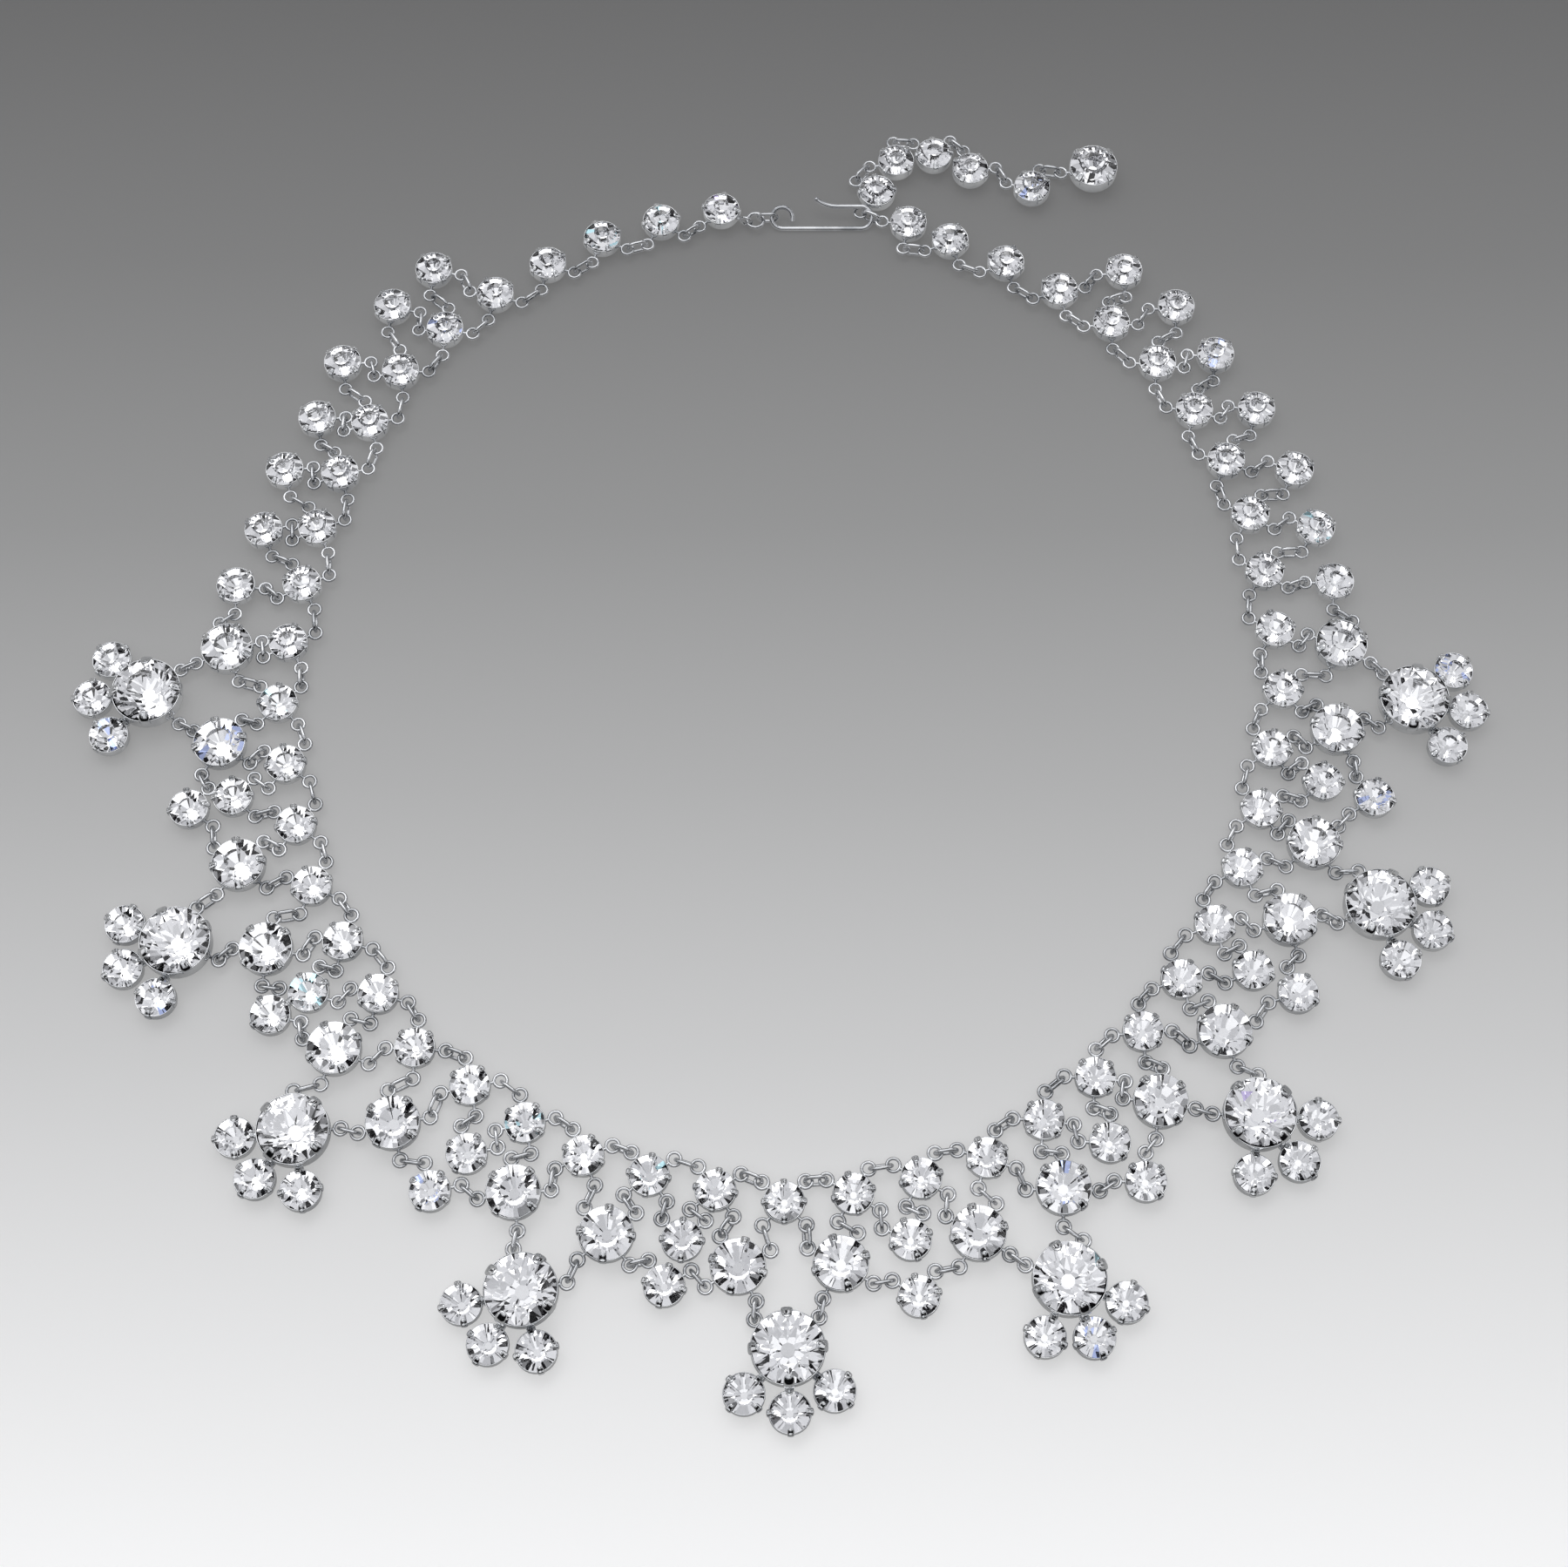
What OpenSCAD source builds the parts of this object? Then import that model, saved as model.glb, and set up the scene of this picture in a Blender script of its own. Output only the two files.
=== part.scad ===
/* [Crystals] */
// Diameter of the small round crystals of the collar, the net and the petals
small_crystal = 5.2; // [5.1:0.05:5.25]
// Diameter of the medium crystals that carry the drops
medium_crystal = 7.0; // [6.9:0.05:7.05]
// Diameter of the large crystal in each drop
large_crystal = 9.3; // [9.2:0.05:9.4]
// Height of a crystal's crown, as a share of its diameter
crown_share = 0.16; // [0.14:0.01:0.18]
// Width of the flat table, as a share of the diameter
table_share = 0.54; // [0.5:0.01:0.6]

/* [Settings] */
// How far a small or medium cup's wall stands outside its crystal
cup_wall = 0.2; // [0.18:0.01:0.22]
// The same for a large cup
large_cup_wall = 0.25; // [0.22:0.01:0.28]
// Height of a small crystal's girdle above the surface it lies on
small_girdle = 2.5; // [2.4:0.05:2.6]
// The same height for a medium crystal
medium_girdle = 3.2; // [3.1:0.05:3.3]
// The same height for a large crystal
large_girdle = 4.2; // [4.1:0.05:4.3]
// Width of a claw over a small crystal
claw_width = 0.7; // [0.6:0.05:0.8]
// Gap all round a large crystal in its cup
seat_gap = 0.1; // [0.08:0.01:0.12]

/* [Chain] */
// Distance along the collar from one small stone to the next
pitch = 9.35; // [9.3:0.01:9.4]
// Thickness of a link's wire
link_wire = 0.5; // [0.45:0.01:0.5]
// Height of a link, which stands on edge
link_height = 2.4; // [2.35:0.01:2.4]
// Length of a link between the middles of its two end bends
link_reach = 2.95; // [2.93:0.01:2.97]
// Thickness of the wire loops, called eyes, that are soldered to the cups
eye_wire = 0.36; // [0.34:0.01:0.36]
// Outer width of an eye
eye_width = 2.24; // [2.22:0.01:2.26]
// Distance from a small cup's wall to the middle of its eye
eye_reach = 1.3; // [1.28:0.01:1.32]

/* [Drops] */
// Distance from a drop's large stone to each of its three petals
petal_reach = 8.0; // [7.9:0.05:8.2]
// Angle between two neighbouring petals
petal_spread = 47; // [45:1:50]

/* [Clasp] */
// Thickness of the hook's wire
hook_wire = 0.72; // [0.7:0.01:0.74]
// Radius of the hook's bend, to the middle of the wire
hook_bend = 1.66; // [1.64:0.01:1.68]
// Angle at which the hook leans as it lies in its link
hook_lean = 32.5; // [32:0.5:33]

/* [Hidden] */
$fn = 48;
SMALL = 0;
MEDIUM = 1;
LARGE = 2;
crystal_colour = "#E8F2F8";
plating_colour = "#D4D6D8";
cup_colour = "#C9CDD2";
crystal_d = [small_crystal, medium_crystal, large_crystal];
girdle_z = [small_girdle, medium_girdle, large_girdle];
wall_of = [cup_wall, cup_wall, large_cup_wall];
function crystal_r(kind) = crystal_d[kind] / 2;
function cup_r(kind) = crystal_r(kind) + wall_of[kind];
function crown_h(kind) = crystal_d[kind] * crown_share;
// Larger cups narrow more towards the foot, so their eyes sit closer under the rim
eye_tuck = [0, 0.1, 0.25];
function eye_r(kind) = cup_r(kind) + eye_reach - eye_tuck[kind];
eye_z = link_height / 2 + 0.05;
rim_h = 0.15;
stem = 0.5;
pavilion_share = 0.39;

// How the collar lies: its middle line about the loop's own centre
// columns: bearing, radius, how far its stones have slid along it
collar_lay = [
    [90, 77.4, -0.5],
    [120, 76.7, -0.1],
    [150, 73.1, 0.8],
    [180, 71.0, 1.2],
    [210, 72.8, 1.6],
    [240, 75.2, 1.2],
    [270, 76.9, 0.5],
    [300, 74.8, -0.1],
    [330, 71.1, -0.2],
    [360, 71.5, -0.1],
    [390, 74.2, 0.3],
    [420, 76.4, 1.0],
];
lay_step = 30;
// How far each stone of the collar lies outside that line, from the clasp's left end on
collar_sway = [
    0.4, 0.1, 0.1, -0.5, -0.4, 0.26, 0.69, -0.36, -0.5, -0.62, -0.81, -0.26,
    0.64, -0.1, -0.2, 0.2, -0.36, -0.5, 0.5, -0.64, -0.59, -0.2, -0.68, -0.6,
    0.4, 0.1, 0.16, 0.8, 0, -0.5, -0.25, -0.3, -0.12, 0, -0.2, -0.51,
    0.3, -0.39, -0.51, -0.1, 0, 0.1, 0.58, 0.3, -0.3, -0.5, -0.5, 0.4,
];
collar_count = len(collar_sway);
middle_stone = 24;
// The last stone has slid towards the one before it
last_stone_slip = 0.25;

// The short zigzag rows above the drops, from the clasp down
// columns: steps from the middle stone and stand-off, on the left, then on the right
upper_lay = [
    [-19.58, 9.19, 19.44, 8.61],
    [-18.77, 9.0, 18.52, 9.42],
    [-17.64, 8.8, 17.59, 8.46],
    [-16.69, 6.92, 16.56, 8.26],
    [-15.76, 7.38, 15.5, 8.82],
    [-14.77, 6.88, 14.56, 8.53],
    [-13.85, 8.65, 13.71, 9.26],
];

// The medium stones, in pairs over the drops, from left to right
// columns: steps and stand-off of the first, steps and stand-off of the second
pair_lay = [
    [-12.86, 8.3, -11.42, 8.85],
    [-9.64, 8.78, -8.41, 9.27],
    [-6.72, 8.67, -5.45, 9.77],
    [-3.62, 8.29, -2.29, 8.53],
    [-0.58, 9.25, 0.69, 9.16],
    [2.46, 9.62, 3.7, 9.13],
    [5.4, 7.81, 6.69, 8.37],
    [8.55, 8.7, 9.72, 8.1],
    [11.45, 8.19, 12.73, 8.8],
];

// The drops, from left to right
// columns: steps, stand-off, turn
drop_lay = [
    [-12.19, 19.04, 1],
    [-8.94, 19.96, 2],
    [-6.22, 19.7, 9],
    [-2.97, 19.41, -8],
    [0.02, 19.77, 1],
    [3.19, 20.01, -4],
    [6.07, 18.67, -10],
    [9.2, 19.14, -2],
    [11.96, 18.68, -4],
];

// The small stones that fill the spaces between drops
// columns: steps and stand-off of the inner stone, steps and stand-off of the outer
space_lay = [
    [-10.63, 7.72, -10.58, 13.99],
    [-7.59, 7.12, -7.6, 13.02],
    [-4.44, 7, -4.54, 13.76],
    [-1.33, 6.68, -1.43, 13.01],
    [1.62, 7.66, 1.54, 15.1],
    [4.55, 7.46, 4.59, 14.41],
    [7.66, 7.41, 7.68, 14.12],
    [10.66, 7.33, 10.6, 14.73],
];

// The free end of the chain, about the loop's centre
// columns: across, up, facing
tail_lay = [
    [17.9, 86.2, 140],
    [23.8, 87.4, 95],
    [29.4, 84.7, 58],
    [38.8, 81.4, 115],
    [48.4, 84.7, 135],
];
// Moves the loop's centre so that the origin is under the middle of the whole necklace
centre_shift = [0, 8];

function unit(a) = [cos(a), sin(a)];
function bearing_of(v) = atan2(v[1], v[0]);
function wrap(a) = a - 360 * floor((a + 180) / 360);
function total(v, i = 0) = i < len(v) ? v[i] + total(v, i + 1) : 0;

// Radius of the collar's middle line at a bearing, a smooth curve through collar_lay
function lay_radius(i) = collar_lay[(i + 2 * len(collar_lay)) % len(collar_lay)][1];
function collar_radius(b) =
    let (k = floor((b - collar_lay[0][0]) / lay_step))
    let (t = (b - collar_lay[0][0]) / lay_step - k)
    let (p = [for (j = [-1:2]) lay_radius(k + j)])
    0.5 * (2 * p[1] + (p[2] - p[0]) * t + (2 * p[0] - 5 * p[1] + 4 * p[2] - p[3]) * t * t
        + (3 * p[1] - p[0] - 3 * p[2] + p[3]) * t * t * t);
function collar_point(b) = collar_radius(b) * unit(b);

// Bearing for each length along the collar from its lowest point
first_bearing = 85;
last_bearing = 455;
stretches = [for (b = [first_bearing:last_bearing - 1]) norm(collar_point(b + 1) - collar_point(b))];
lengths = [
    for (i = 0, s = 0; i <= len(stretches); s = s + (i < len(stretches) ? stretches[i] : 0), i = i + 1) s
];
length_at_bottom = lengths[270 - first_bearing];
bearing_table = [for (i = [0:len(lengths) - 1]) [lengths[i] - length_at_bottom, first_bearing + i]];
slide_table = [for (row = collar_lay) [row[0], row[2]]];

// A place on the necklace: steps along the collar, stand-off from it, and kind of stone
// It gives the point, the bearing away from the neck, and the kind
function lay(steps, off, kind) =
    let (slide = lookup(lookup(steps * pitch, bearing_table), slide_table))
    let (b = lookup(steps * pitch + slide, bearing_table))
    let (away = bearing_of(collar_point(b + 0.5) - collar_point(b - 0.5)) - 90)
    [collar_point(b) + off * unit(away), away, kind];

collar = [
    for (i = [0:collar_count - 1])
        lay(i - middle_stone - (i == collar_count - 1 ? last_stone_slip : 0), collar_sway[i], SMALL)
];
upper_left = [for (row = upper_lay) lay(row[0], row[1], SMALL)];
upper_right = [for (row = upper_lay) lay(row[2], row[3], SMALL)];
mediums = [for (row = pair_lay, k = [0, 2]) lay(row[k], row[k + 1], MEDIUM)];
inner = [for (row = space_lay) lay(row[0], row[1], SMALL)];
outer = [for (row = space_lay) lay(row[2], row[3], SMALL)];
drops = [for (row = drop_lay) lay(row[0], row[1], LARGE)];

// The catch link joins the collar's last stone to the free end, and holds the hook
last_facing = 33;
catch_bearing = 154.5;
catch_span = 3.69;
catch_eye = collar[collar_count - 1][0] + eye_r(SMALL) * unit(last_facing + 135);
tail_eye = catch_eye + catch_span * unit(catch_bearing);
tail_facing = 186.5;
tail_start = tail_eye - eye_r(SMALL) * unit(tail_facing + 45);
tail = concat(
    [[tail_start, tail_facing, SMALL]],
    [for (i = [0:len(tail_lay) - 1])
        [[tail_lay[i][0], tail_lay[i][1]], tail_lay[i][2], i == len(tail_lay) - 1 ? MEDIUM : SMALL]]
);

// Every stone that links reach, in one list, and where each group starts in it
stones = concat(collar, upper_left, upper_right, mediums, inner, outer, drops, tail);
UPPER_LEFT = collar_count;
UPPER_RIGHT = UPPER_LEFT + len(upper_left);
MEDIUMS = UPPER_RIGHT + len(upper_right);
INNER = MEDIUMS + len(mediums);
OUTER = INNER + len(inner);
DROPS = OUTER + len(outer);
TAIL = DROPS + len(drops);
LAST = TAIL + len(tail) - 1;

// The corners of a stone where eyes sit, as angles from its bearing away from the neck
OUT_FORE = 45;
IN_FORE = 135;
OUT_BACK = -45;
IN_BACK = -135;
upper_end = len(upper_lay) - 1;
// A tie stands for one link: stone, its corner, other stone, its corner
collar_ties = [for (i = [0:collar_count - 2]) [i, IN_FORE, i + 1, IN_BACK]];
upper_ties = concat(
    [for (k = [0:upper_end]) [4 + k, OUT_FORE, UPPER_LEFT + k, IN_BACK]],
    [for (k = [0:upper_end - 1]) [UPPER_LEFT + k, IN_FORE, 5 + k, OUT_BACK]],
    [[UPPER_LEFT + upper_end, IN_FORE, MEDIUMS, OUT_BACK]],
    [for (k = [0:upper_end]) [UPPER_RIGHT + k, IN_FORE, 44 - k, OUT_BACK]],
    [for (k = [0:upper_end - 1]) [43 - k, OUT_FORE, UPPER_RIGHT + k, IN_BACK]],
    [[INNER - 1, OUT_FORE, UPPER_RIGHT + upper_end, IN_BACK]]
);
function stone_over(j) = middle_stone + 3 * (j - 4);
net_ties = [
    for (j = [0:len(drops) - 1])
        let (c = stone_over(j))
        let (m = MEDIUMS + 2 * j)
        each [
            [c - 1, OUT_FORE, m, IN_BACK],
            [m, IN_FORE, c, OUT_BACK],
            [c, OUT_FORE, m + 1, IN_BACK],
            [m + 1, IN_FORE, c + 1, OUT_BACK],
            [m, OUT_FORE, DROPS + j, IN_BACK],
            [DROPS + j, IN_FORE, m + 1, OUT_BACK],
        ]
];
space_ties = [
    for (j = [0:len(inner) - 1])
        let (c = stone_over(j))
        let (m = MEDIUMS + 2 * j)
        each [
            [c + 1, OUT_FORE, INNER + j, IN_BACK],
            [INNER + j, IN_FORE, c + 2, OUT_BACK],
            [m + 1, OUT_FORE, OUTER + j, IN_BACK],
            [OUTER + j, IN_FORE, m + 2, OUT_BACK],
        ]
];
catch_tie = [collar_count - 1, IN_FORE, TAIL, OUT_FORE];
tail_ties = [for (i = [TAIL:LAST - 1]) [i, OUT_BACK, i + 1, OUT_FORE]];
ties = concat(collar_ties, upper_ties, net_ties, space_ties, [catch_tie], tail_ties);

// How far a stone has turned so that its corners face the stones it is tied to
function miss(i, other, corner) =
    wrap(bearing_of(stones[other][0] - stones[i][0]) - stones[i][1] - corner);
function misses(i) = concat(
    [for (t = ties) if (t[0] == i) miss(i, t[2], t[1])],
    [for (t = ties) if (t[2] == i) miss(i, t[0], t[3])]
);
first_facing = 80;
function facing_of(i) =
    i == 0 ? first_facing
    : i == collar_count - 1 ? last_facing
    : i >= TAIL ? stones[i][1]
    : i >= DROPS ? stones[i][1] + drop_lay[i - DROPS][2]
    : let (m = misses(i)) stones[i][1] + total(m) / len(m);
facing = [for (i = [0:len(stones) - 1]) facing_of(i)];
function corners(i) = concat(
    [for (t = ties) if (t[0] == i) t[1]],
    [for (t = ties) if (t[2] == i) t[3]]
);
function eye_at(i, corner) = stones[i][0] + eye_r(stones[i][2]) * unit(facing[i] + corner);

// Points of a crystal lie on level rings, and its facets join one ring to the next
table_turn = 22.5;
function ring(n, r, z, turn = 0) = [for (i = [0:n - 1]) concat(r * unit(turn + i * 360 / n), [z])];
// Facets between a ring of n points and one of 2n, where point i lies over point 2i + 1
function fan_faces(n, up, low) = [
    for (i = [0:n - 1])
        let (a = up + i)
        let (b = up + (i + 1) % n)
        let (c = low + 2 * i)
        let (d = low + 2 * i + 1)
        let (e = low + (2 * i + 2) % (2 * n))
        each [[a, e, b], [a, d, e], [a, c, d]]
];
function band_faces(n, up, low) = [
    for (i = [0:n - 1]) [up + i, low + i, low + (i + 1) % n, up + (i + 1) % n]
];
function turned_over(faces) = [for (f = faces) [for (i = [len(f) - 1:-1:0]) f[i]]];

// Facets between two rings of n points, the upper one turned half a step on
function zigzag_faces(n, up, low) = [
    for (i = [0:n - 1])
        let (j = (i + 1) % n)
        each [[up + i, low + j, up + j], [up + i, low + i, low + j]]
];

// The upper part of a small or medium crystal, down to below its girdle
module crown(kind) {
    r = crystal_r(kind);
    g = girdle_z[kind];
    table = ring(8, r * table_share, g + crown_h(kind), table_turn);
    sides = kind == SMALL ? 8 : 16;
    color(crystal_colour)
        polyhedron(
            points = concat(table, ring(sides, r, g), ring(sides, r, g - 0.4)),
            faces = turned_over(concat(
                [[for (i = [0:7]) i]],
                kind == SMALL ? zigzag_faces(8, 0, 8) : fan_faces(8, 0, 8),
                band_faces(sides, 8, 8 + sides),
                [[for (i = [sides - 1:-1:0]) 8 + sides + i]]
            ))
        );
}

// A large crystal with all its facets: table, crown, girdle and the point below
module crystal(kind) {
    r = crystal_r(kind);
    g = girdle_z[kind];
    foot = g - crystal_d[kind] * pavilion_share;
    color(crystal_colour)
        polyhedron(
            points = concat(
                ring(8, r * table_share, g + crown_h(kind), table_turn),
                ring(16, r, g + 0.12),
                ring(16, r, g - 0.12),
                ring(8, r * 0.5, (g + foot) / 2 - 0.16, table_turn),
                [[0, 0, foot]]
            ),
            faces = turned_over(concat(
                [[for (i = [0:7]) i]],
                fan_faces(8, 0, 8),
                band_faces(16, 8, 24),
                turned_over(fan_faces(8, 40, 24)),
                [for (i = [0:7]) [40 + i, 48, 40 + (i + 1) % 8]]
            ))
        );
}

// Outline of a cup from its flat foot up to its rim
function cup_outline(kind) =
    let (r = cup_r(kind))
    let (g = girdle_z[kind])
    [
        [0, 0],
        [r * 0.68, 0],
        [r * 0.93, g * 0.35],
        [r, g * 0.55],
        [r, g + rim_h],
    ];

// A small or medium cup, filled as far as the crystal that is sunk in it
module cup(kind) {
    r = cup_r(kind);
    g = girdle_z[kind];
    color(cup_colour)
        rotate_extrude()
            polygon(concat(cup_outline(kind), [[r - 0.35, g + rim_h], [r - 0.35, g], [0, g]]));
}

// A large cup, hollowed to take its crystal
module open_cup(kind) {
    r = crystal_r(kind) + seat_gap;
    g = girdle_z[kind];
    foot = g - crystal_d[kind] * pavilion_share;
    color(cup_colour)
        rotate_extrude()
            polygon(concat(
                cup_outline(kind),
                [
                    [r, g + rim_h],
                    [r, g - 0.35],
                    [r * 0.5, (g + foot) / 2 - 0.5],
                    [0.8, foot - 0.2],
                    [0, foot - 0.2],
                ]
            ));
}

// Four claws that stand on the wall and fold over the crystal's edge
module claws(kind, lift = 0) {
    r = crystal_r(kind);
    wall = cup_r(kind);
    g = girdle_z[kind];
    w = claw_width * (kind == LARGE ? 1.6 : kind == MEDIUM ? 1.2 : 1);
    tip = r * 0.72;
    tip_z = g + lift + crown_h(kind) * (r - tip) / (r * (1 - table_share));
    color(plating_colour)
        for (a = [0:90:270])
            rotate(a)
                translate([0, w / 2, 0])
                    rotate([90, 0, 0])
                        linear_extrude(w)
                            polygon([
                                [wall - 0.15, g - 1],
                                [wall + 0.1, g - 1],
                                [wall + 0.1, g + lift + 0.3],
                                [tip, tip_z + 0.3],
                                [tip, tip_z],
                                [wall - 0.15, g + lift],
                            ]);
}

// A wire loop beside the cup with the short stem it is soldered by
module eye(kind, upright = false) {
    r = eye_width / 2 - eye_wire / 2;
    color(plating_colour)
        translate([eye_r(kind), 0, eye_z]) {
            rotate([upright ? 90 : 0, 0, 0])
                rotate_extrude()
                    translate([r, 0])
                        circle(d = eye_wire);
            translate([-eye_reach - 0.4, 0, 0])
                rotate([0, 90, 0])
                    cylinder(d = stem, h = eye_reach + 0.4 - r);
        }
}

module eyes(i) {
    for (corner = corners(i))
        rotate(corner)
            eye(stones[i][2]);
}

// Puts a thing where stone i lies, facing as it does
module at_stone(i) {
    translate([each (stones[i][0] + centre_shift), 0])
        rotate(facing[i])
            children();
}

module set_crystal(kind) {
    cup(kind);
    crown(kind);
    claws(kind);
}

// One set stone of the chain with the eyes that its links need
module stone(i) {
    at_stone(i)
        union() {
            set_crystal(stones[i][2]);
            eyes(i);
        }
}

// The collar's first stone has a second eye, on edge, towards the clasp
end_eye_bearing = -20;
module first_stone() {
    at_stone(0)
        union() {
            set_crystal(SMALL);
            eyes(0);
            rotate(end_eye_bearing - facing[0])
                eye(SMALL, true);
        }
}

module drop_setting(j) {
    i = DROPS + j;
    at_stone(i)
        union() {
            open_cup(LARGE);
            claws(LARGE, 0.2);
            eyes(i);
            for (side = [-1:1])
                rotate(side * petal_spread) {
                    translate([petal_reach, 0, 0])
                        rotate(180)
                            set_crystal(SMALL);
                    color(plating_colour)
                        translate([cup_r(LARGE) - 0.4, -0.6, 0.9])
                            cube([petal_reach - cup_r(LARGE) - cup_r(SMALL) + 0.8, 1.2, 1]);
                }
        }
}

module drop_crystal(j) {
    at_stone(DROPS + j)
        crystal(LARGE);
}

// A long link about the origin, standing on edge along x
module link() {
    bend = (link_height - link_wire) / 2;
    side = link_reach - 2 * bend;
    color(plating_colour)
        rotate([90, 0, 0])
            for (end = [0, 180])
                rotate(end) {
                    translate([side / 2, 0, 0])
                        rotate(-90)
                            rotate_extrude(angle = 180)
                                translate([bend, 0])
                                    circle(d = link_wire);
                    translate([-side / 2, bend, 0])
                        rotate([0, 90, 0])
                            cylinder(d = link_wire, h = side);
                }
}

module link_for(t) {
    a = eye_at(t[0], t[1]);
    b = eye_at(t[2], t[3]);
    translate([each ((a + b) / 2 + centre_shift), eye_z])
        rotate(bearing_of(b - a))
            link();
}

// The hook, drawn in its own plane from its curled eye to its flared tip, then leant over
hook_curl = 1.6;
hook_curl_end = 0.5;
hook_start = 0.2;
hook_short_leg = 3.8;
hook_flare = 5;
hook_turn_up = 38;
// How far the hook lies from the middle of its link, towards the collar
hook_slip = 0.1;
module hook_arc(at, r, from, sweep) {
    translate([each at, 0])
        rotate(from)
            rotate_extrude(angle = sweep)
                translate([r, 0])
                    circle(d = hook_wire);
}

module hook_leg(from, length, turn = 0) {
    translate([each from, 0])
        rotate([0, 90, turn])
            cylinder(d = hook_wire, h = length);
}

module clasp_hook() {
    middle = (catch_eye + tail_eye) / 2 - hook_slip * unit(catch_bearing);
    length = round(100 * (middle[0] - hook_bend - hook_start)) / 100;
    short_end = [length - hook_short_leg, 2 * hook_bend];
    tip = short_end + [0, hook_flare] + hook_flare * unit(-90 - hook_turn_up);
    color(plating_colour)
        translate([
            hook_start + centre_shift[0],
            middle[1] - hook_bend * cos(hook_lean) + centre_shift[1],
            hook_wire / 2
        ])
            rotate([hook_lean, 0, 0]) {
                hook_leg([hook_curl, hook_curl - hook_curl_end], hook_curl_end, 90);
                hook_arc([0, hook_curl], hook_curl, 0, 270);
                hook_leg([0, 0], length);
                hook_arc([length, hook_bend], hook_bend, -90, 180);
                hook_leg(short_end, hook_short_leg);
                mirror([1, 0, 0])
                    hook_arc([-short_end[0], 2 * hook_bend + hook_flare], hook_flare, -90, hook_turn_up);
                translate([each tip, 0])
                    sphere(d = hook_wire + 0.1);
            }
}

// Two rings between the first stone and the hook: a round one lies flat, a long one stands
ring_wire = 0.5;
ring_width = 3.1;
flat_ring_at = [-3.92, 76.07, 1.2];
long_ring_at = [-1.98, 76.53, eye_z];
module clasp_rings() {
    color(plating_colour)
        translate(flat_ring_at + [each centre_shift, 0])
            rotate_extrude()
                translate([(ring_width - ring_wire) / 2, 0])
                    circle(d = ring_wire);
    translate(long_ring_at + [each centre_shift, 0])
        link();
}

module stone_row(from, to) {
    for (i = [from:to])
        stone(i);
}

module link_row(row) {
    for (t = row)
        link_for(t);
}

drop_count = len(drops);

union() {  // collar_left
    first_stone();
    stone_row(1, middle_stone - 1);
}
stone_row(middle_stone, collar_count - 1);  // collar_right
stone_row(UPPER_LEFT, MEDIUMS - 1);  // upper_stones
stone_row(INNER, DROPS - 1);  // space_stones
link_row(collar_ties);  // collar_links
link_row(upper_ties);  // upper_links
link_row(net_ties);  // net_links
link_row(space_ties);  // space_links
union() {  // tail_links
    clasp_rings();
    link_row(concat([catch_tie], tail_ties));
}
clasp_hook();  // hook
for (k = [1:len(mediums)])
    stone(MEDIUMS + k - 1);
for (k = [1:drop_count])
    drop_setting(k - 1);
for (k = [1:drop_count])
    drop_crystal(k - 1);
for (k = [1:len(tail)])
    stone(TAIL + k - 1);
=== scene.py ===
# %% [markdown]
# # A crystal drop necklace
# The necklace is a chain of small round crystals in claw cups. Small wire links join the cups, a net of
# larger crystals hangs outside the chain, and nine fan-shaped drops end the net. This script dresses the
# frame of solids with cut crystals, cups, claws, wire eyes and links that look like the real ones.
# Everything is in metres and in the frame's own coordinates, with +Z up from the surface it lies on.

# %% The frame and two units
import math
import random

import bmesh
import bpy
from mathutils import Matrix, Vector


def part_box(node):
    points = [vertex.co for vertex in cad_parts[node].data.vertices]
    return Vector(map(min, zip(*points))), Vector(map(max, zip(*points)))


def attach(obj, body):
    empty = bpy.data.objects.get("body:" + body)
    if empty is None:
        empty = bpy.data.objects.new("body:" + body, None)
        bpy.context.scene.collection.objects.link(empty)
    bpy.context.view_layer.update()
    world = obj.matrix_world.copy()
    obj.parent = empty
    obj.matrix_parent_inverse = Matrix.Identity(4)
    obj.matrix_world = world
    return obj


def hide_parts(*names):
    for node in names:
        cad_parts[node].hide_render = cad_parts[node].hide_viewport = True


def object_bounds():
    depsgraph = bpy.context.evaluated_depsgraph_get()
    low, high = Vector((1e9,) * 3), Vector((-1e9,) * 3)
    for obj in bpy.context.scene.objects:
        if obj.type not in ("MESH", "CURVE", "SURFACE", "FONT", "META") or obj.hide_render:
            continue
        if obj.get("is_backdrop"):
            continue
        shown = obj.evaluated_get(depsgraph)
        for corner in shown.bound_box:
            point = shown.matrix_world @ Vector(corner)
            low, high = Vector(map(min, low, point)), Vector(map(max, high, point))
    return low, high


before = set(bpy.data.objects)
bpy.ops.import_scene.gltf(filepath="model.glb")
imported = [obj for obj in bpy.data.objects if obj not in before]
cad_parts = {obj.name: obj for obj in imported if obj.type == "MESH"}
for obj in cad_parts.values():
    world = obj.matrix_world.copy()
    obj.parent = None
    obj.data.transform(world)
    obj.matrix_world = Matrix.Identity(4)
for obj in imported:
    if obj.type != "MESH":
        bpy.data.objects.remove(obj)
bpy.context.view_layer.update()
MM = 0.001
DEG = math.pi / 180

# %% [markdown]
# ## The camera
# The photograph looks down on the necklace from about 37 cm away, tilted a little from straight down. The
# tilt was found from how the nearer crystals grow and from the sides of the cups that show. The camera
# comes first, because everything after it is judged through it.

# %% Camera
TILT = 21.7
EYE_POINT = Vector((0.5, -145.6, 343.5)) * MM
camera = bpy.data.objects.new("camera", bpy.data.cameras.new("camera"))
bpy.context.scene.collection.objects.link(camera)
camera.location = EYE_POINT
camera.rotation_euler = (TILT * DEG, 0, 0)
camera.data.lens = 60
camera.data.sensor_width = 36
camera.data.clip_start = 0.01
bpy.context.scene.camera = camera
print("camera:", TILT, "degrees from straight down,", round(EYE_POINT.length / MM), "mm from the middle")

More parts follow.
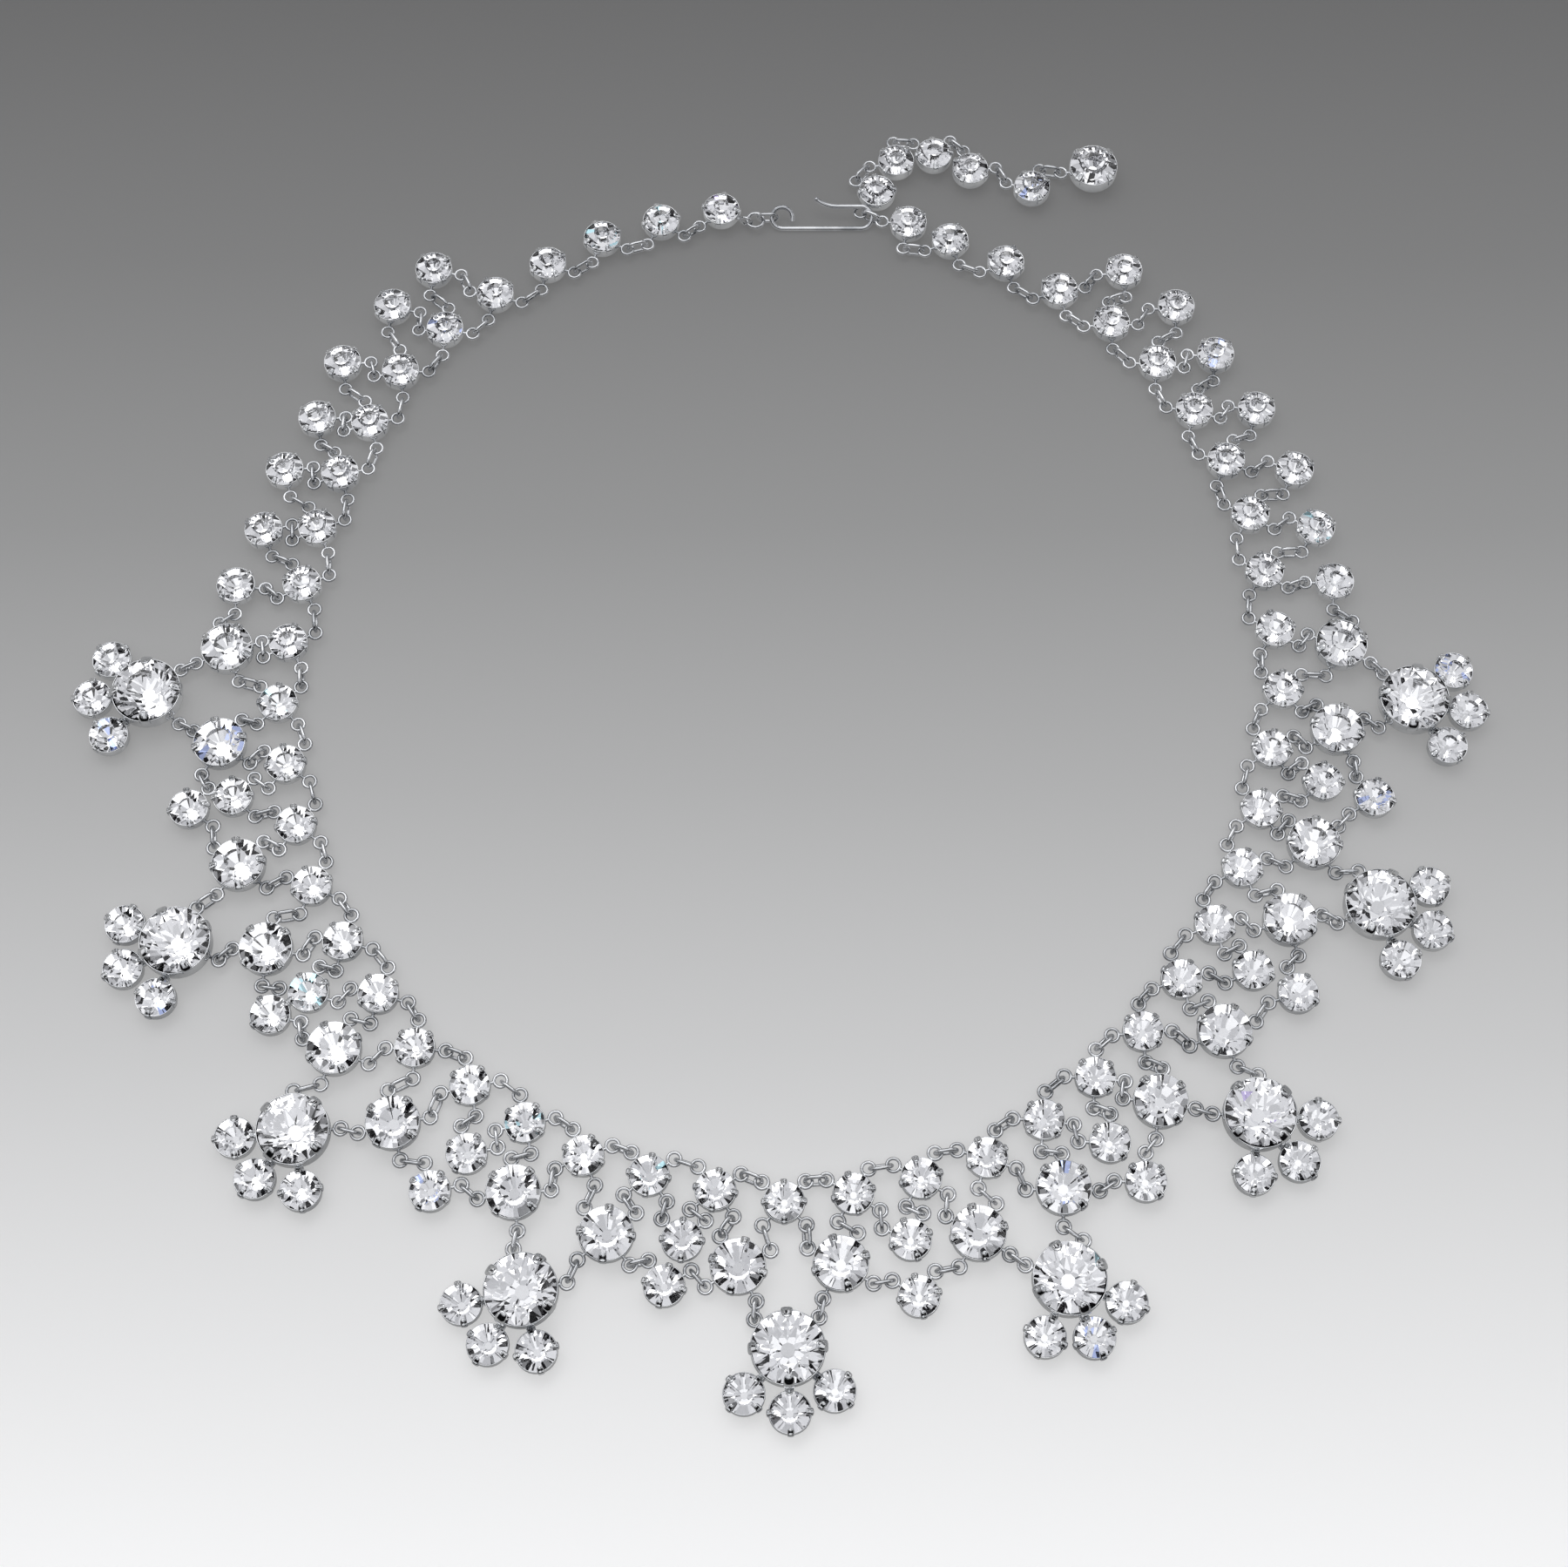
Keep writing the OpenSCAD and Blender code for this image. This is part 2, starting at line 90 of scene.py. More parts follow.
# %% [markdown]
# ## Where the stones lie
# A chain laid down by hand isn't regular, so the solids were placed by tables: how the collar's middle
# line runs, and how far along it and outside it each stone lies. The same tables stand here, so that the
# crystals, cups and links made below fall exactly on their solids. Lengths are in millimetres, turns in
# degrees, and a step is the way from one collar stone to the next.

# %% Tables of the lay
SMALL, MEDIUM, LARGE = 0, 1, 2
PITCH = 9.35
SHIFT = (0, 8)
# bearing and radius of the collar's line, and how far the stones slide along it there
COLLAR_LAY = [
    (90, 77.4, -0.5),
    (120, 76.7, -0.1),
    (150, 73.1, 0.8),
    (180, 71.0, 1.2),
    (210, 72.8, 1.6),
    (240, 75.2, 1.2),
    (270, 76.9, 0.5),
    (300, 74.8, -0.1),
    (330, 71.1, -0.2),
    (360, 71.5, -0.1),
    (390, 74.2, 0.3),
    (420, 76.4, 1.0),
]
# how far each collar stone lies outside the line
COLLAR_SWAY = [
    0.4, 0.1, 0.1, -0.5, -0.4, 0.26, 0.69, -0.36, -0.5, -0.62, -0.81, -0.26,
    0.64, -0.1, -0.2, 0.2, -0.36, -0.5, 0.5, -0.64, -0.59, -0.2, -0.68, -0.6,
    0.4, 0.1, 0.16, 0.8, 0, -0.5, -0.25, -0.3, -0.12, 0, -0.2, -0.51,
    0.3, -0.39, -0.51, -0.1, 0, 0.1, 0.58, 0.3, -0.3, -0.5, -0.5, 0.4,
]
# steps from the middle stone and stand-off, on the left, then on the right
UPPER_LAY = [
    (-19.58, 9.19, 19.44, 8.61),
    (-18.77, 9.0, 18.52, 9.42),
    (-17.64, 8.8, 17.59, 8.46),
    (-16.69, 6.92, 16.56, 8.26),
    (-15.76, 7.38, 15.5, 8.82),
    (-14.77, 6.88, 14.56, 8.53),
    (-13.85, 8.65, 13.71, 9.26),
]
# steps and stand-off of the two medium stones over each drop
PAIR_LAY = [
    (-12.86, 8.3, -11.42, 8.85),
    (-9.64, 8.78, -8.41, 9.27),
    (-6.72, 8.67, -5.45, 9.77),
    (-3.62, 8.29, -2.29, 8.53),
    (-0.58, 9.25, 0.69, 9.16),
    (2.46, 9.62, 3.7, 9.13),
    (5.4, 7.81, 6.69, 8.37),
    (8.55, 8.7, 9.72, 8.1),
    (11.45, 8.19, 12.73, 8.8),
]
# steps, stand-off and turn of each drop
DROP_LAY = [
    (-12.19, 19.04, 1),
    (-8.94, 19.96, 2),
    (-6.22, 19.7, 9),
    (-2.97, 19.41, -8),
    (0.02, 19.77, 1),
    (3.19, 20.01, -4),
    (6.07, 18.67, -10),
    (9.2, 19.14, -2),
    (11.96, 18.68, -4),
]
# steps and stand-off of the inner and the outer stone between two drops
SPACE_LAY = [
    (-10.63, 7.72, -10.58, 13.99),
    (-7.59, 7.12, -7.6, 13.02),
    (-4.44, 7, -4.54, 13.76),
    (-1.33, 6.68, -1.43, 13.01),
    (1.62, 7.66, 1.54, 15.1),
    (4.55, 7.46, 4.59, 14.41),
    (7.66, 7.41, 7.68, 14.12),
    (10.66, 7.33, 10.6, 14.73),
]
# across, up and facing of the chain's free end
TAIL_LAY = [
    (17.9, 86.2, 140),
    (23.8, 87.4, 95),
    (29.4, 84.7, 58),
    (38.8, 81.4, 115),
    (48.4, 84.7, 135),
]
print("drops:", len(DROP_LAY), "collar stones:", len(COLLAR_SWAY))

# %% [markdown]
# The collar's line is one closed, smooth curve through the twelve radii of the first table. Its length is
# measured degree by degree, so that steps of equal length can be told apart along it, as a maker counts
# the stones on a chain.


# %% From steps along the collar to a place
def unit(bearing):
    return Vector((math.cos(bearing * DEG), math.sin(bearing * DEG)))


def bearing_of(v):
    return math.degrees(math.atan2(v[1], v[0]))


def between(x, table):
    """The value at x on straight lines through a table of (x, value) rows."""
    if x <= table[0][0]:
        return table[0][1]
    for (x0, v0), (x1, v1) in zip(table, table[1:]):
        if x <= x1:
            return v0 + (v1 - v0) * (x - x0) / (x1 - x0)
    return table[-1][1]


def collar_point(bearing):
    """The point of the collar's line at a bearing: a cubic between the two nearest radii of the table."""
    first, apart = COLLAR_LAY[0][0], COLLAR_LAY[1][0] - COLLAR_LAY[0][0]
    k = math.floor((bearing - first) / apart)
    t = (bearing - first) / apart - k
    a, b, c, d = (COLLAR_LAY[(k + j) % len(COLLAR_LAY)][1] for j in (-1, 0, 1, 2))
    bend = (2 * a - 5 * b + 4 * c - d) * t * t + (3 * b - a - 3 * c + d) * t**3
    return 0.5 * (2 * b + (c - a) * t + bend) * unit(bearing)


FROM, TO, FRONT = 85, 455, 270
lengths = [0]
for degree in range(FROM, TO):
    lengths.append(lengths[-1] + (collar_point(degree + 1) - collar_point(degree)).length)
BEARINGS = [(s - lengths[FRONT - FROM], FROM + i) for i, s in enumerate(lengths)]
SLIDES = [(row[0], row[2]) for row in COLLAR_LAY]


def lay(steps, off):
    """Point and outward bearing for a number of steps along the collar and a stand-off from it."""
    slide = between(between(steps * PITCH, BEARINGS), SLIDES)
    b = between(steps * PITCH + slide, BEARINGS)
    away = bearing_of(collar_point(b + 0.5) - collar_point(b - 0.5)) - 90
    return collar_point(b) + off * unit(away), away


print("collar line:", round(BEARINGS[-1][0] - BEARINGS[0][0]), "mm over", TO - FROM, "degrees")

# %% [markdown]
# Stones come in stock sizes, so three rows of sizes are enough for all of them: small, medium and large.
# The crown is the part of a crystal above its girdle, which is its widest line, and the pavilion is the
# part below. The table is the flat facet on top, and the culet is the tip behind, here polished flat.

# %% Sizes of the small, medium and large stones
EYE_Z = 1.25
EYE_R = [4.1, 4.9, 5.95]
CRYSTAL_R = [2.68, 3.58, 4.77]
CUP_R = [2.8, 3.7, 4.9]
GIRDLE_Z = [2.5, 3.2, 4.2]
CULET_Z = 0.17
# shares of the crystal's radius
CROWN = [0.39, 0.37, 0.32]
PAVILION = 1.0
TABLE = [0.43, 0.46, 0.54]
print("crystals of", [2 * r for r in CRYSTAL_R], "mm in cups of", [2 * r for r in CUP_R], "mm")

# %% Every stone: its point, its outward bearing and its kind
# the last collar stone lies a quarter of a step back
MIDDLE, LAST, LAST_BACK = 24, len(COLLAR_SWAY) - 1, 0.25
stones = []
for i, sway in enumerate(COLLAR_SWAY):
    stones.append((*lay(i - MIDDLE - (LAST_BACK if i == LAST else 0), sway), SMALL))
stones += [(*lay(row[0], row[1]), SMALL) for row in UPPER_LAY]
stones += [(*lay(row[2], row[3]), SMALL) for row in UPPER_LAY]
stones += [(*lay(row[k], row[k + 1]), MEDIUM) for row in PAIR_LAY for k in (0, 2)]
stones += [(*lay(row[0], row[1]), SMALL) for row in SPACE_LAY]
stones += [(*lay(row[2], row[3]), SMALL) for row in SPACE_LAY]
stones += [(*lay(row[0], row[1]), LARGE) for row in DROP_LAY]
# number of the first stone of each row
UPPER_LEFT, UPPER_RIGHT, MEDIUMS, INNER, OUTER, DROPS, TAIL = 48, 55, 62, 80, 88, 96, 105

# the free end starts one link further than an eye of the last collar stone
FIRST_FACING, LAST_FACING, TAIL_FACING = 80, 33, 186.5
LINK_SPAN, LINK_BEARING = 3.69, 154.5
catch_eye = stones[LAST][0] + EYE_R[SMALL] * unit(LAST_FACING + 135)
tail_eye = catch_eye + LINK_SPAN * unit(LINK_BEARING)
stones.append((tail_eye - EYE_R[SMALL] * unit(TAIL_FACING + 45), TAIL_FACING, SMALL))
for row in TAIL_LAY:
    stones.append((Vector(row[:2]), row[2], MEDIUM if row is TAIL_LAY[-1] else SMALL))
print(len(stones), "stones, beside", 3 * len(DROP_LAY), "petals")

# %% [markdown]
# Each cup carries wire eyes at its corners, and each link joins two of them. A tie names a stone and one
# of its four corners, then the other stone and its corner. A stone that hangs in the net turns until its
# corners face its neighbours as well as they can, which is what the mean of the misses works out.

# %% Ties between the stones, and the way each stone faces
# outer and inner corners, forwards and backwards along the collar
OF, IF, OB, IB = 45, 135, -45, -135
# the collar stones where the upper rows and the net start
LEFT_START, RIGHT_START, NET_START = 4, 44, 12
UPPER = len(UPPER_LAY)
collar_ties = [(i, IF, i + 1, IB) for i in range(LAST)]
upper_ties = [(LEFT_START + k, OF, UPPER_LEFT + k, IB) for k in range(UPPER)]
upper_ties += [(UPPER_LEFT + k, IF, LEFT_START + k + 1, OB) for k in range(UPPER - 1)]
upper_ties += [(UPPER_RIGHT - 1, IF, MEDIUMS, OB)]
upper_ties += [(UPPER_RIGHT + k, IF, RIGHT_START - k, OB) for k in range(UPPER)]
upper_ties += [(RIGHT_START - k - 1, OF, UPPER_RIGHT + k, IB) for k in range(UPPER - 1)]
upper_ties += [(INNER - 1, OF, MEDIUMS - 1, IB)]
net_ties = []
for j in range(len(DROP_LAY)):
    c, m, d = NET_START + 3 * j, MEDIUMS + 2 * j, DROPS + j
    net_ties += [(c - 1, OF, m, IB), (m, IF, c, OB), (c, OF, m + 1, IB), (m + 1, IF, c + 1, OB)]
    net_ties += [(m, OF, d, IB), (d, IF, m + 1, OB)]
space_ties = []
for j in range(len(SPACE_LAY)):
    c, m = NET_START + 3 * j, MEDIUMS + 2 * j
    space_ties += [(c + 1, OF, INNER + j, IB), (INNER + j, IF, c + 2, OB)]
    space_ties += [(m + 1, OF, OUTER + j, IB), (OUTER + j, IF, m + 2, OB)]
tail_ties = [(LAST, IF, TAIL, OF)] + [(i, OB, i + 1, OF) for i in range(TAIL, len(stones) - 1)]
ties = collar_ties + upper_ties + net_ties + space_ties + tail_ties


def facing_of(i):
    """The bearing that a stone's outer side faces, given for a few and found from its ties for most."""
    if i in (0, LAST):
        return FIRST_FACING if i == 0 else LAST_FACING
    if i >= TAIL:
        return stones[i][1]
    if i >= DROPS:
        return stones[i][1] + DROP_LAY[i - DROPS][2]
    met = [(c, b) for a, c, b, _ in ties if a == i] + [(c, a) for a, _, b, c in ties if b == i]
    misses = [bearing_of(stones[o][0] - stones[i][0]) - stones[i][1] - c for c, o in met]
    return stones[i][1] + sum((m + 180) % 360 - 180 for m in misses) / len(misses)


FACING = [facing_of(i) for i in range(len(stones))]


def place(i):
    """Where a stone's middle stands in the frame, in mm."""
    return Vector((stones[i][0][0] + SHIFT[0], stones[i][0][1] + SHIFT[1]))


def eye_at(i, corner):
    return place(i) + EYE_R[stones[i][2]] * unit(FACING[i] + corner)


off_solid = 0
for k in range(INNER - MEDIUMS):
    low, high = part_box(f"medium_stone_{k + 1}")
    inside = all(low[a] < place(MEDIUMS + k)[a] * MM < high[a] for a in (0, 1))
    off_solid += not inside
print("ties:", len(ties), "medium stones off their solids:", off_solid)

# %% [markdown]
# ## Finishes
# Four finishes make the whole necklace. The cups and claws are brass with a bright rhodium plating. The
# eyes, links and hook are wire with the same plating, a little darker. The crystals are clear lead glass,
# cut and polished. Each one's lower facets carry a silver foil, a mirror that sends the light back up
# through the stone, and that is what makes it sparkle.


# %% Colours and nodes
def colour(hexa):
    """An sRGB hex colour as the linear values that a shader uses."""
    parts = [int(hexa[i : i + 2], 16) / 255 for i in (1, 3, 5)]
    return (*(c / 12.92 if c <= 0.04045 else ((c + 0.055) / 1.055) ** 2.4 for c in parts), 1)


def add(tree, kind, links=None, **settings):
    """Adds a node. Its settings come first, then its inputs: values, or other nodes' outputs."""
    node = tree.nodes.new(kind)
    for name, value in settings.items():
        setattr(node, name, value)
    for socket, given in (links or {}).items():
        for value in given if isinstance(given, list) else [given]:
            if isinstance(value, bpy.types.NodeSocket):
                tree.links.new(value, node.inputs[socket])
            else:
                node.inputs[socket].default_value = value
    return node


def new_finish(name):
    finish = bpy.data.materials.new(name)
    finish.use_nodes = True
    tree = finish.node_tree
    return finish, tree, tree.nodes["Principled BSDF"]


def mix(tree, share, none, full):
    """The first colour at a share of 0, and the second at 1."""
    return add(tree, "ShaderNodeMix", {"Factor": share, 6: none, 7: full}, data_type="RGBA").outputs[2]


def ramp(tree, source, stops, mode="LINEAR"):
    node = add(tree, "ShaderNodeValToRGB", {"Fac": source})
    node.color_ramp.interpolation = mode
    while len(node.color_ramp.elements) < len(stops):
        node.color_ramp.elements.new(0.5)
    for element, (position, hexa) in zip(node.color_ramp.elements, stops):
        element.position = position
        element.color = colour(hexa)
    return node.outputs["Color"]


print("mid grey, #808080, in linear values:", [round(c, 3) for c in colour("#808080")[:3]])

# %% [markdown]
# Rhodium plating on polished brass is a cool, bright metal. A barrel polish leaves faint waves about half a
# millimetre wide, so small parts don't mirror like glass, and years in a drawer leave slightly greyer
# patches about 4 mm across. A noise scale is features for each metre: 1 / 0.0038 is about 260, and
# 1 / 0.00053 is about 1900.

# %% Rhodium plating
PATCHES, WAVES = 260, 1900
SMOOTHEST = 0.04
WAVE_DEPTH = 0.04 * MM


def plated(name, grey, bright, roughest):
    """Plating whose colour and roughness vary in patches, from grey to bright and up to the roughest."""
    finish, tree, shader = new_finish(name)
    where = add(tree, "ShaderNodeTexCoord").outputs["Object"]
    patches = add(tree, "ShaderNodeTexNoise", {"Vector": where, "Scale": PATCHES, "Detail": 3}).outputs["Fac"]
    waves = add(tree, "ShaderNodeTexNoise", {"Vector": where, "Scale": WAVES, "Detail": 2}).outputs["Fac"]
    tint = ramp(tree, patches, [(0.3, grey), (0.62, bright)])
    gloss = add(tree, "ShaderNodeMapRange", {"Value": patches, "To Min": SMOOTHEST, "To Max": roughest})
    dents = add(tree, "ShaderNodeBump", {"Height": waves, "Strength": 0.25, "Distance": WAVE_DEPTH})
    tree.links.new(tint, shader.inputs["Base Color"])
    tree.links.new(gloss.outputs["Result"], shader.inputs["Roughness"])
    tree.links.new(dents.outputs["Normal"], shader.inputs["Normal"])
    shader.inputs["Metallic"].default_value = 1
    return finish


plating = plated("rhodium_plating", "#C8CACD", "#EFF0F1", 0.12)
wire_plating = plated("rhodium_plated_wire", "#A8AAAD", "#DCDDDF", 0.08)
print("platings:", plating.name, "and", wire_plating.name)

# %% [markdown]
# Lead crystal is clear and strongly refracting, with an IOR of about 1.56, and its facets are polished flat.
# The foil under it is a sputtered silver mirror. Lead glass splits white light into colours; here that
# is a painted flash: a few facets have their glass tinted blue, violet or aqua. One random value for each
# facet, from 0 to 1, picks the few that are tinted: all values under 0.986 stay clear.

# %% Lead crystal and foil
glass, tree, shader = new_finish("cut_lead_crystal")
# painted flashes: the glass colour of a few facets is tinted blue, violet or aqua, painted in place of split
# light
flash = add(tree, "ShaderNodeAttribute", attribute_name="flash").outputs["Fac"]
stops = [(0, "#FFFFFF"), (0.986, "#9AB0FF"), (0.991, "#CAB4FF"), (0.9955, "#A0E6F4")]
tree.links.new(ramp(tree, flash, stops, "CONSTANT"), shader.inputs["Base Color"])
shader.inputs["Transmission Weight"].default_value = 1
shader.inputs["IOR"].default_value = 1.56
shader.inputs["Roughness"].default_value = 0

foil, tree, shader = new_finish("silver_foil")
shader.inputs["Base Color"].default_value = colour("#F7F7F8")
shader.inputs["Metallic"].default_value = 1
shader.inputs["Roughness"].default_value = 0
print("of the facets that may flash, one does in", round(1 / (1 - stops[1][0])))

# %% [markdown]
# ## Geometry Nodes for what repeats
# The necklace repeats five things more than a hundred times: cup, claw, crystal, eye and link. Each gets a
# node tree with named sizes, or shares one, and a cloud of points says where its copies go. Every point
# carries a turn, the three angles of its copy. The trees end in real meshes, because the export drops
# instances. Copies made one by one in code would look the same, but a tree's sizes can be tried by hand.


# %% A node tree with named inputs
def new_tree(name, inputs):
    """A tree with points in and a mesh out. Its inputs are given as label: (kind, value)."""
    tree = bpy.data.node_groups.new(name, "GeometryNodeTree")
    tree.interface.new_socket("Points", in_out="INPUT", socket_type="NodeSocketGeometry")
    for label, (kind, value) in inputs.items():
        socket = tree.interface.new_socket(label, in_out="INPUT", socket_type=f"NodeSocket{kind}")
        if value is not None:
            socket.default_value = value
    tree.interface.new_socket("Mesh", in_out="OUTPUT", socket_type="NodeSocketGeometry")
    return tree, tree.nodes.new("NodeGroupInput").outputs


SHARP = 72


def scatter(tree, given, thing, finish):
    """Ends a tree: a copy of the thing on each point, made real, smoothed up to sharp edges and finished."""
    turn = add(tree, "GeometryNodeInputNamedAttribute", {"Name": "turn"}, data_type="FLOAT_VECTOR")
    copies = add(
        tree,
        "GeometryNodeInstanceOnPoints",
        {"Points": given["Points"], "Instance": thing, "Rotation": turn.outputs["Attribute"]},
    )
    real = add(tree, "GeometryNodeRealizeInstances", {"Geometry": copies.outputs["Instances"]})
    smooth = add(tree, "GeometryNodeSetShadeSmooth", {"Geometry": real.outputs[0]})
    bend = add(tree, "GeometryNodeInputMeshEdgeAngle").outputs["Unsigned Angle"]
    sharp = add(tree, "FunctionNodeCompare", {0: bend, 1: SHARP * DEG}, operation="GREATER_THAN")
    edges = add(
        tree,
        "GeometryNodeSetShadeSmooth",
        {"Geometry": smooth.outputs[0], "Selection": sharp.outputs[0], "Shade Smooth": False},
        domain="EDGE",
    )
    dressed = add(tree, "GeometryNodeSetMaterial", {"Geometry": edges.outputs[0], "Material": finish})
    add(tree, "NodeGroupOutput", {"Mesh": dressed.outputs[0]})


# %% [markdown]
# A tree does nothing until it sits in a modifier. So a carrier object holds the points and the modifier,
# the result is read off it once as a plain mesh, and the carrier goes.


# %% Growing a tree on points, and joining what is soldered
def grow(name, tree, rows, **sizes):
    """Grows a tree on rows of (x, y, z) in mm and three angles in degrees. Returns a plain mesh object."""
    cloud = bpy.data.meshes.new(name + "_points")
    cloud.from_pydata([Vector(at) * MM for at, _ in rows], [], [])
    turns = cloud.attributes.new("turn", "FLOAT_VECTOR", "POINT")
    turns.data.foreach_set("vector", [a * DEG for _, turn in rows for a in turn])
    carrier = bpy.data.objects.new(name + "_carrier", cloud)
    bpy.context.scene.collection.objects.link(carrier)
    modifier = carrier.modifiers.new("grow", "NODES")
    modifier.node_group = tree
    for item in tree.interface.items_tree:
        label = item.name.lower().replace(" ", "_")
        if item.in_out == "INPUT" and label in sizes:
            modifier[item.identifier] = sizes.pop(label)
    assert not sizes, f"{tree.name} has no input for {list(sizes)}"
    graph = bpy.context.evaluated_depsgraph_get()
    mesh = bpy.data.meshes.new_from_object(carrier.evaluated_get(graph), depsgraph=graph)
    mesh.name = name
    bpy.data.objects.remove(carrier)
    piece = bpy.data.objects.new(name, mesh)
    bpy.context.scene.collection.objects.link(piece)
    mesh.calc_loop_triangles()
    print(name, len(rows), "copies,", len(mesh.loop_triangles), "triangles")
    return piece


def merge(name, parts):
    """Joins pieces into the first one, as solder joins a cup and its eyes."""
    with bpy.context.temp_override(active_object=parts[0], selected_editable_objects=parts):
        bpy.ops.object.join()
    parts[0].name = parts[0].data.name = name
    return parts[0]


# %% Small meshes that the trees copy
SAME_POINT = 0.0001 * MM


def pattern(name, verts, faces):
    """A small mesh in mm with its faces outwards, kept out of the scene, that a tree copies."""
    mesh = bpy.data.meshes.new(name)
    mesh.from_pydata([Vector(v) * MM for v in verts], [], faces)
    shape = bmesh.new()
    shape.from_mesh(mesh)
    bmesh.ops.remove_doubles(shape, verts=shape.verts, dist=SAME_POINT)
    bmesh.ops.recalc_face_normals(shape, faces=shape.faces)
    shape.to_mesh(mesh)
    shape.free()
    return bpy.data.objects.new(name, mesh)


# %% [markdown]
# ## The crystals
# The large crystals are round brilliants: an eight-sided table, eight kites and twenty-four triangles
# around it, a thin girdle, then sixteen halves and eight mains behind. The small and medium ones are
# chatons, the plainer cut of pressed and polished stones: a table with sixteen facets around it, and eight
# behind. All are cut behind at 45 degrees, down to a small flat culet. Their corners are worked out, not
# drawn, so each facet is truly flat.


# %% A cut stone knows which facets are foiled and which may get a painted flash
GIRDLE = 0.03
HAIR = 0.01
LARGEST_FLASH = 2.8 * MM**2


def at(radius, angle, z):
    return (radius * math.cos(angle * DEG), radius * math.sin(angle * DEG), z)


def cut_stone(name, verts, faces, top, high):
    """Foils the facets under the girdle's top, and marks the crown's smaller ones, which may get a painted
    flash.
    """
    stone = pattern(name, verts, faces)
    heights = [f.center.z / MM for f in stone.data.polygons]
    foiled = stone.data.attributes.new("foiled", "BOOLEAN", "FACE")
    foiled.data.foreach_set("value", [z < top - HAIR for z in heights])
    crown = stone.data.attributes.new("crown", "BOOLEAN", "FACE")
    small = [f.area < LARGEST_FLASH for f in stone.data.polygons]
    crown.data.foreach_set("value", [top - HAIR < z < high - HAIR and s for z, s in zip(heights, small)])
    return stone


# %% Heights of a cut stone, and the large crystals' brilliant cut
def heights_of(kind):
    """The table's height, the girdle's top and bottom, and where the pavilion's sides would meet."""
    r, g = CRYSTAL_R[kind], GIRDLE_Z[kind]
    return g + CROWN[kind] * r, g + GIRDLE * r, g - GIRDLE * r, g - (PAVILION + GIRDLE) * r


def brilliant(kind, star=0.76, half=0.3):
    """A round brilliant. Its stars end at one share of the radius, and its lower halves at the other."""
    r = CRYSTAL_R[kind]
    high, top, low, foot = heights_of(kind)
    lean = math.cos(22.5 * DEG)
    star_z = top + (high - top) * (1 - star * lean) / (1 - TABLE[kind])
    half_z = low - (low - foot) * (1 - half * lean)
    verts = [at(TABLE[kind] * r, 22.5 + 45 * k, high) for k in range(8)]
    verts += [at(star * r, 45 + 45 * k, star_z) for k in range(8)]
    verts += [at(r, 22.5 + 22.5 * k, top) for k in range(16)]
    verts += [at(r, 22.5 + 22.5 * k, low) for k in range(16)]
    verts += [at(half * r, 45 + 45 * k, half_z) for k in range(8)]
    culet = r * (CULET_Z - foot) / (low - foot) / lean
    verts += [at(culet, 45 + 45 * k, CULET_Z) for k in range(8)]
    # first corners of the table, stars, girdle's top, girdle's bottom, halves and culet
    t, s, u, w, h, c = 0, 8, 16, 32, 48, 56
    faces = [list(range(8)), list(range(c, c + 8))]
    for k in range(8):
        n, p = (k + 1) % 8, (k - 1) % 8
        a, b, d = 2 * k, 2 * k + 1, (2 * k + 2) % 16
        faces += [[t + k, s + k, t + n], [t + k, s + p, u + a, s + k]]
        faces += [[s + k, u + a, u + b], [s + k, u + b, u + d]]
        faces += [[w + a, w + b, u + b, u + a], [w + b, w + d, u + d, u + b]]
        faces += [[h + k, w + b, w + a], [h + k, w + d, w + b], [w + a, h + k, c + k, c + p, h + p]]
    return cut_stone(f"brilliant_{kind}", verts, faces, top, high)


# %% The small and middle crystals' chaton cut
RIM = 32


def chaton(kind, front, back):
    """A stone with this many facets around its table and this many behind, as points around its rim."""
    r = CRYSTAL_R[kind]
    high, top, low, foot = heights_of(kind)
    flat = TABLE[kind] * r * math.cos(math.pi / front)

    def reach(i, shift, count):
        """How far out a rim point lies along the nearest facet of a ring of them."""
        part = RIM / count
        off = (i - shift * part + part / 2) % part - part / 2
        return r * math.cos(2 * math.pi * off / RIM)

    verts = [at(TABLE[kind] * r, 360 * (k + 0.5) / front, high) for k in range(front)]
    for i in range(RIM):
        fall = (reach(i, 0, front) - flat) / (r - flat)
        verts.append(at(r, 360 * i / RIM, high - (high - top) * fall))
    for i in range(RIM):
        rise = reach(i, 0.5, back) / r
        verts.append(at(r, 360 * i / RIM, foot + (low - foot) * rise))
    culet = r * (CULET_Z - foot) / (low - foot) / math.cos(math.pi / back)
    verts += [at(culet, 360 * k / back, CULET_Z) for k in range(back)]
    upper, lower, tip = front, front + RIM, front + 2 * RIM
    faces = [list(range(front)), list(range(tip, tip + back))]
    for k in range(front):
        step = RIM // front
        edge = [upper + (step * k + step // 2 + i) % RIM for i in range(step + 1)]
        faces.append([k, *edge, (k + 1) % front])
    for k in range(back):
        step = RIM // back
        edge = [lower + (step * k + i) % RIM for i in range(step + 1)]
        faces.append([*edge, tip + (k + 1) % back, tip + k])
    for i in range(RIM):
        n = (i + 1) % RIM
        faces.append([upper + i, upper + n, lower + n, lower + i])
    return cut_stone(f"chaton_{kind}", verts, faces, top, high)


crystals = [chaton(SMALL, 16, 8), chaton(MEDIUM, 16, 8), brilliant(LARGE)]
print("facets of each crystal:", [len(b.data.polygons) for b in crystals])
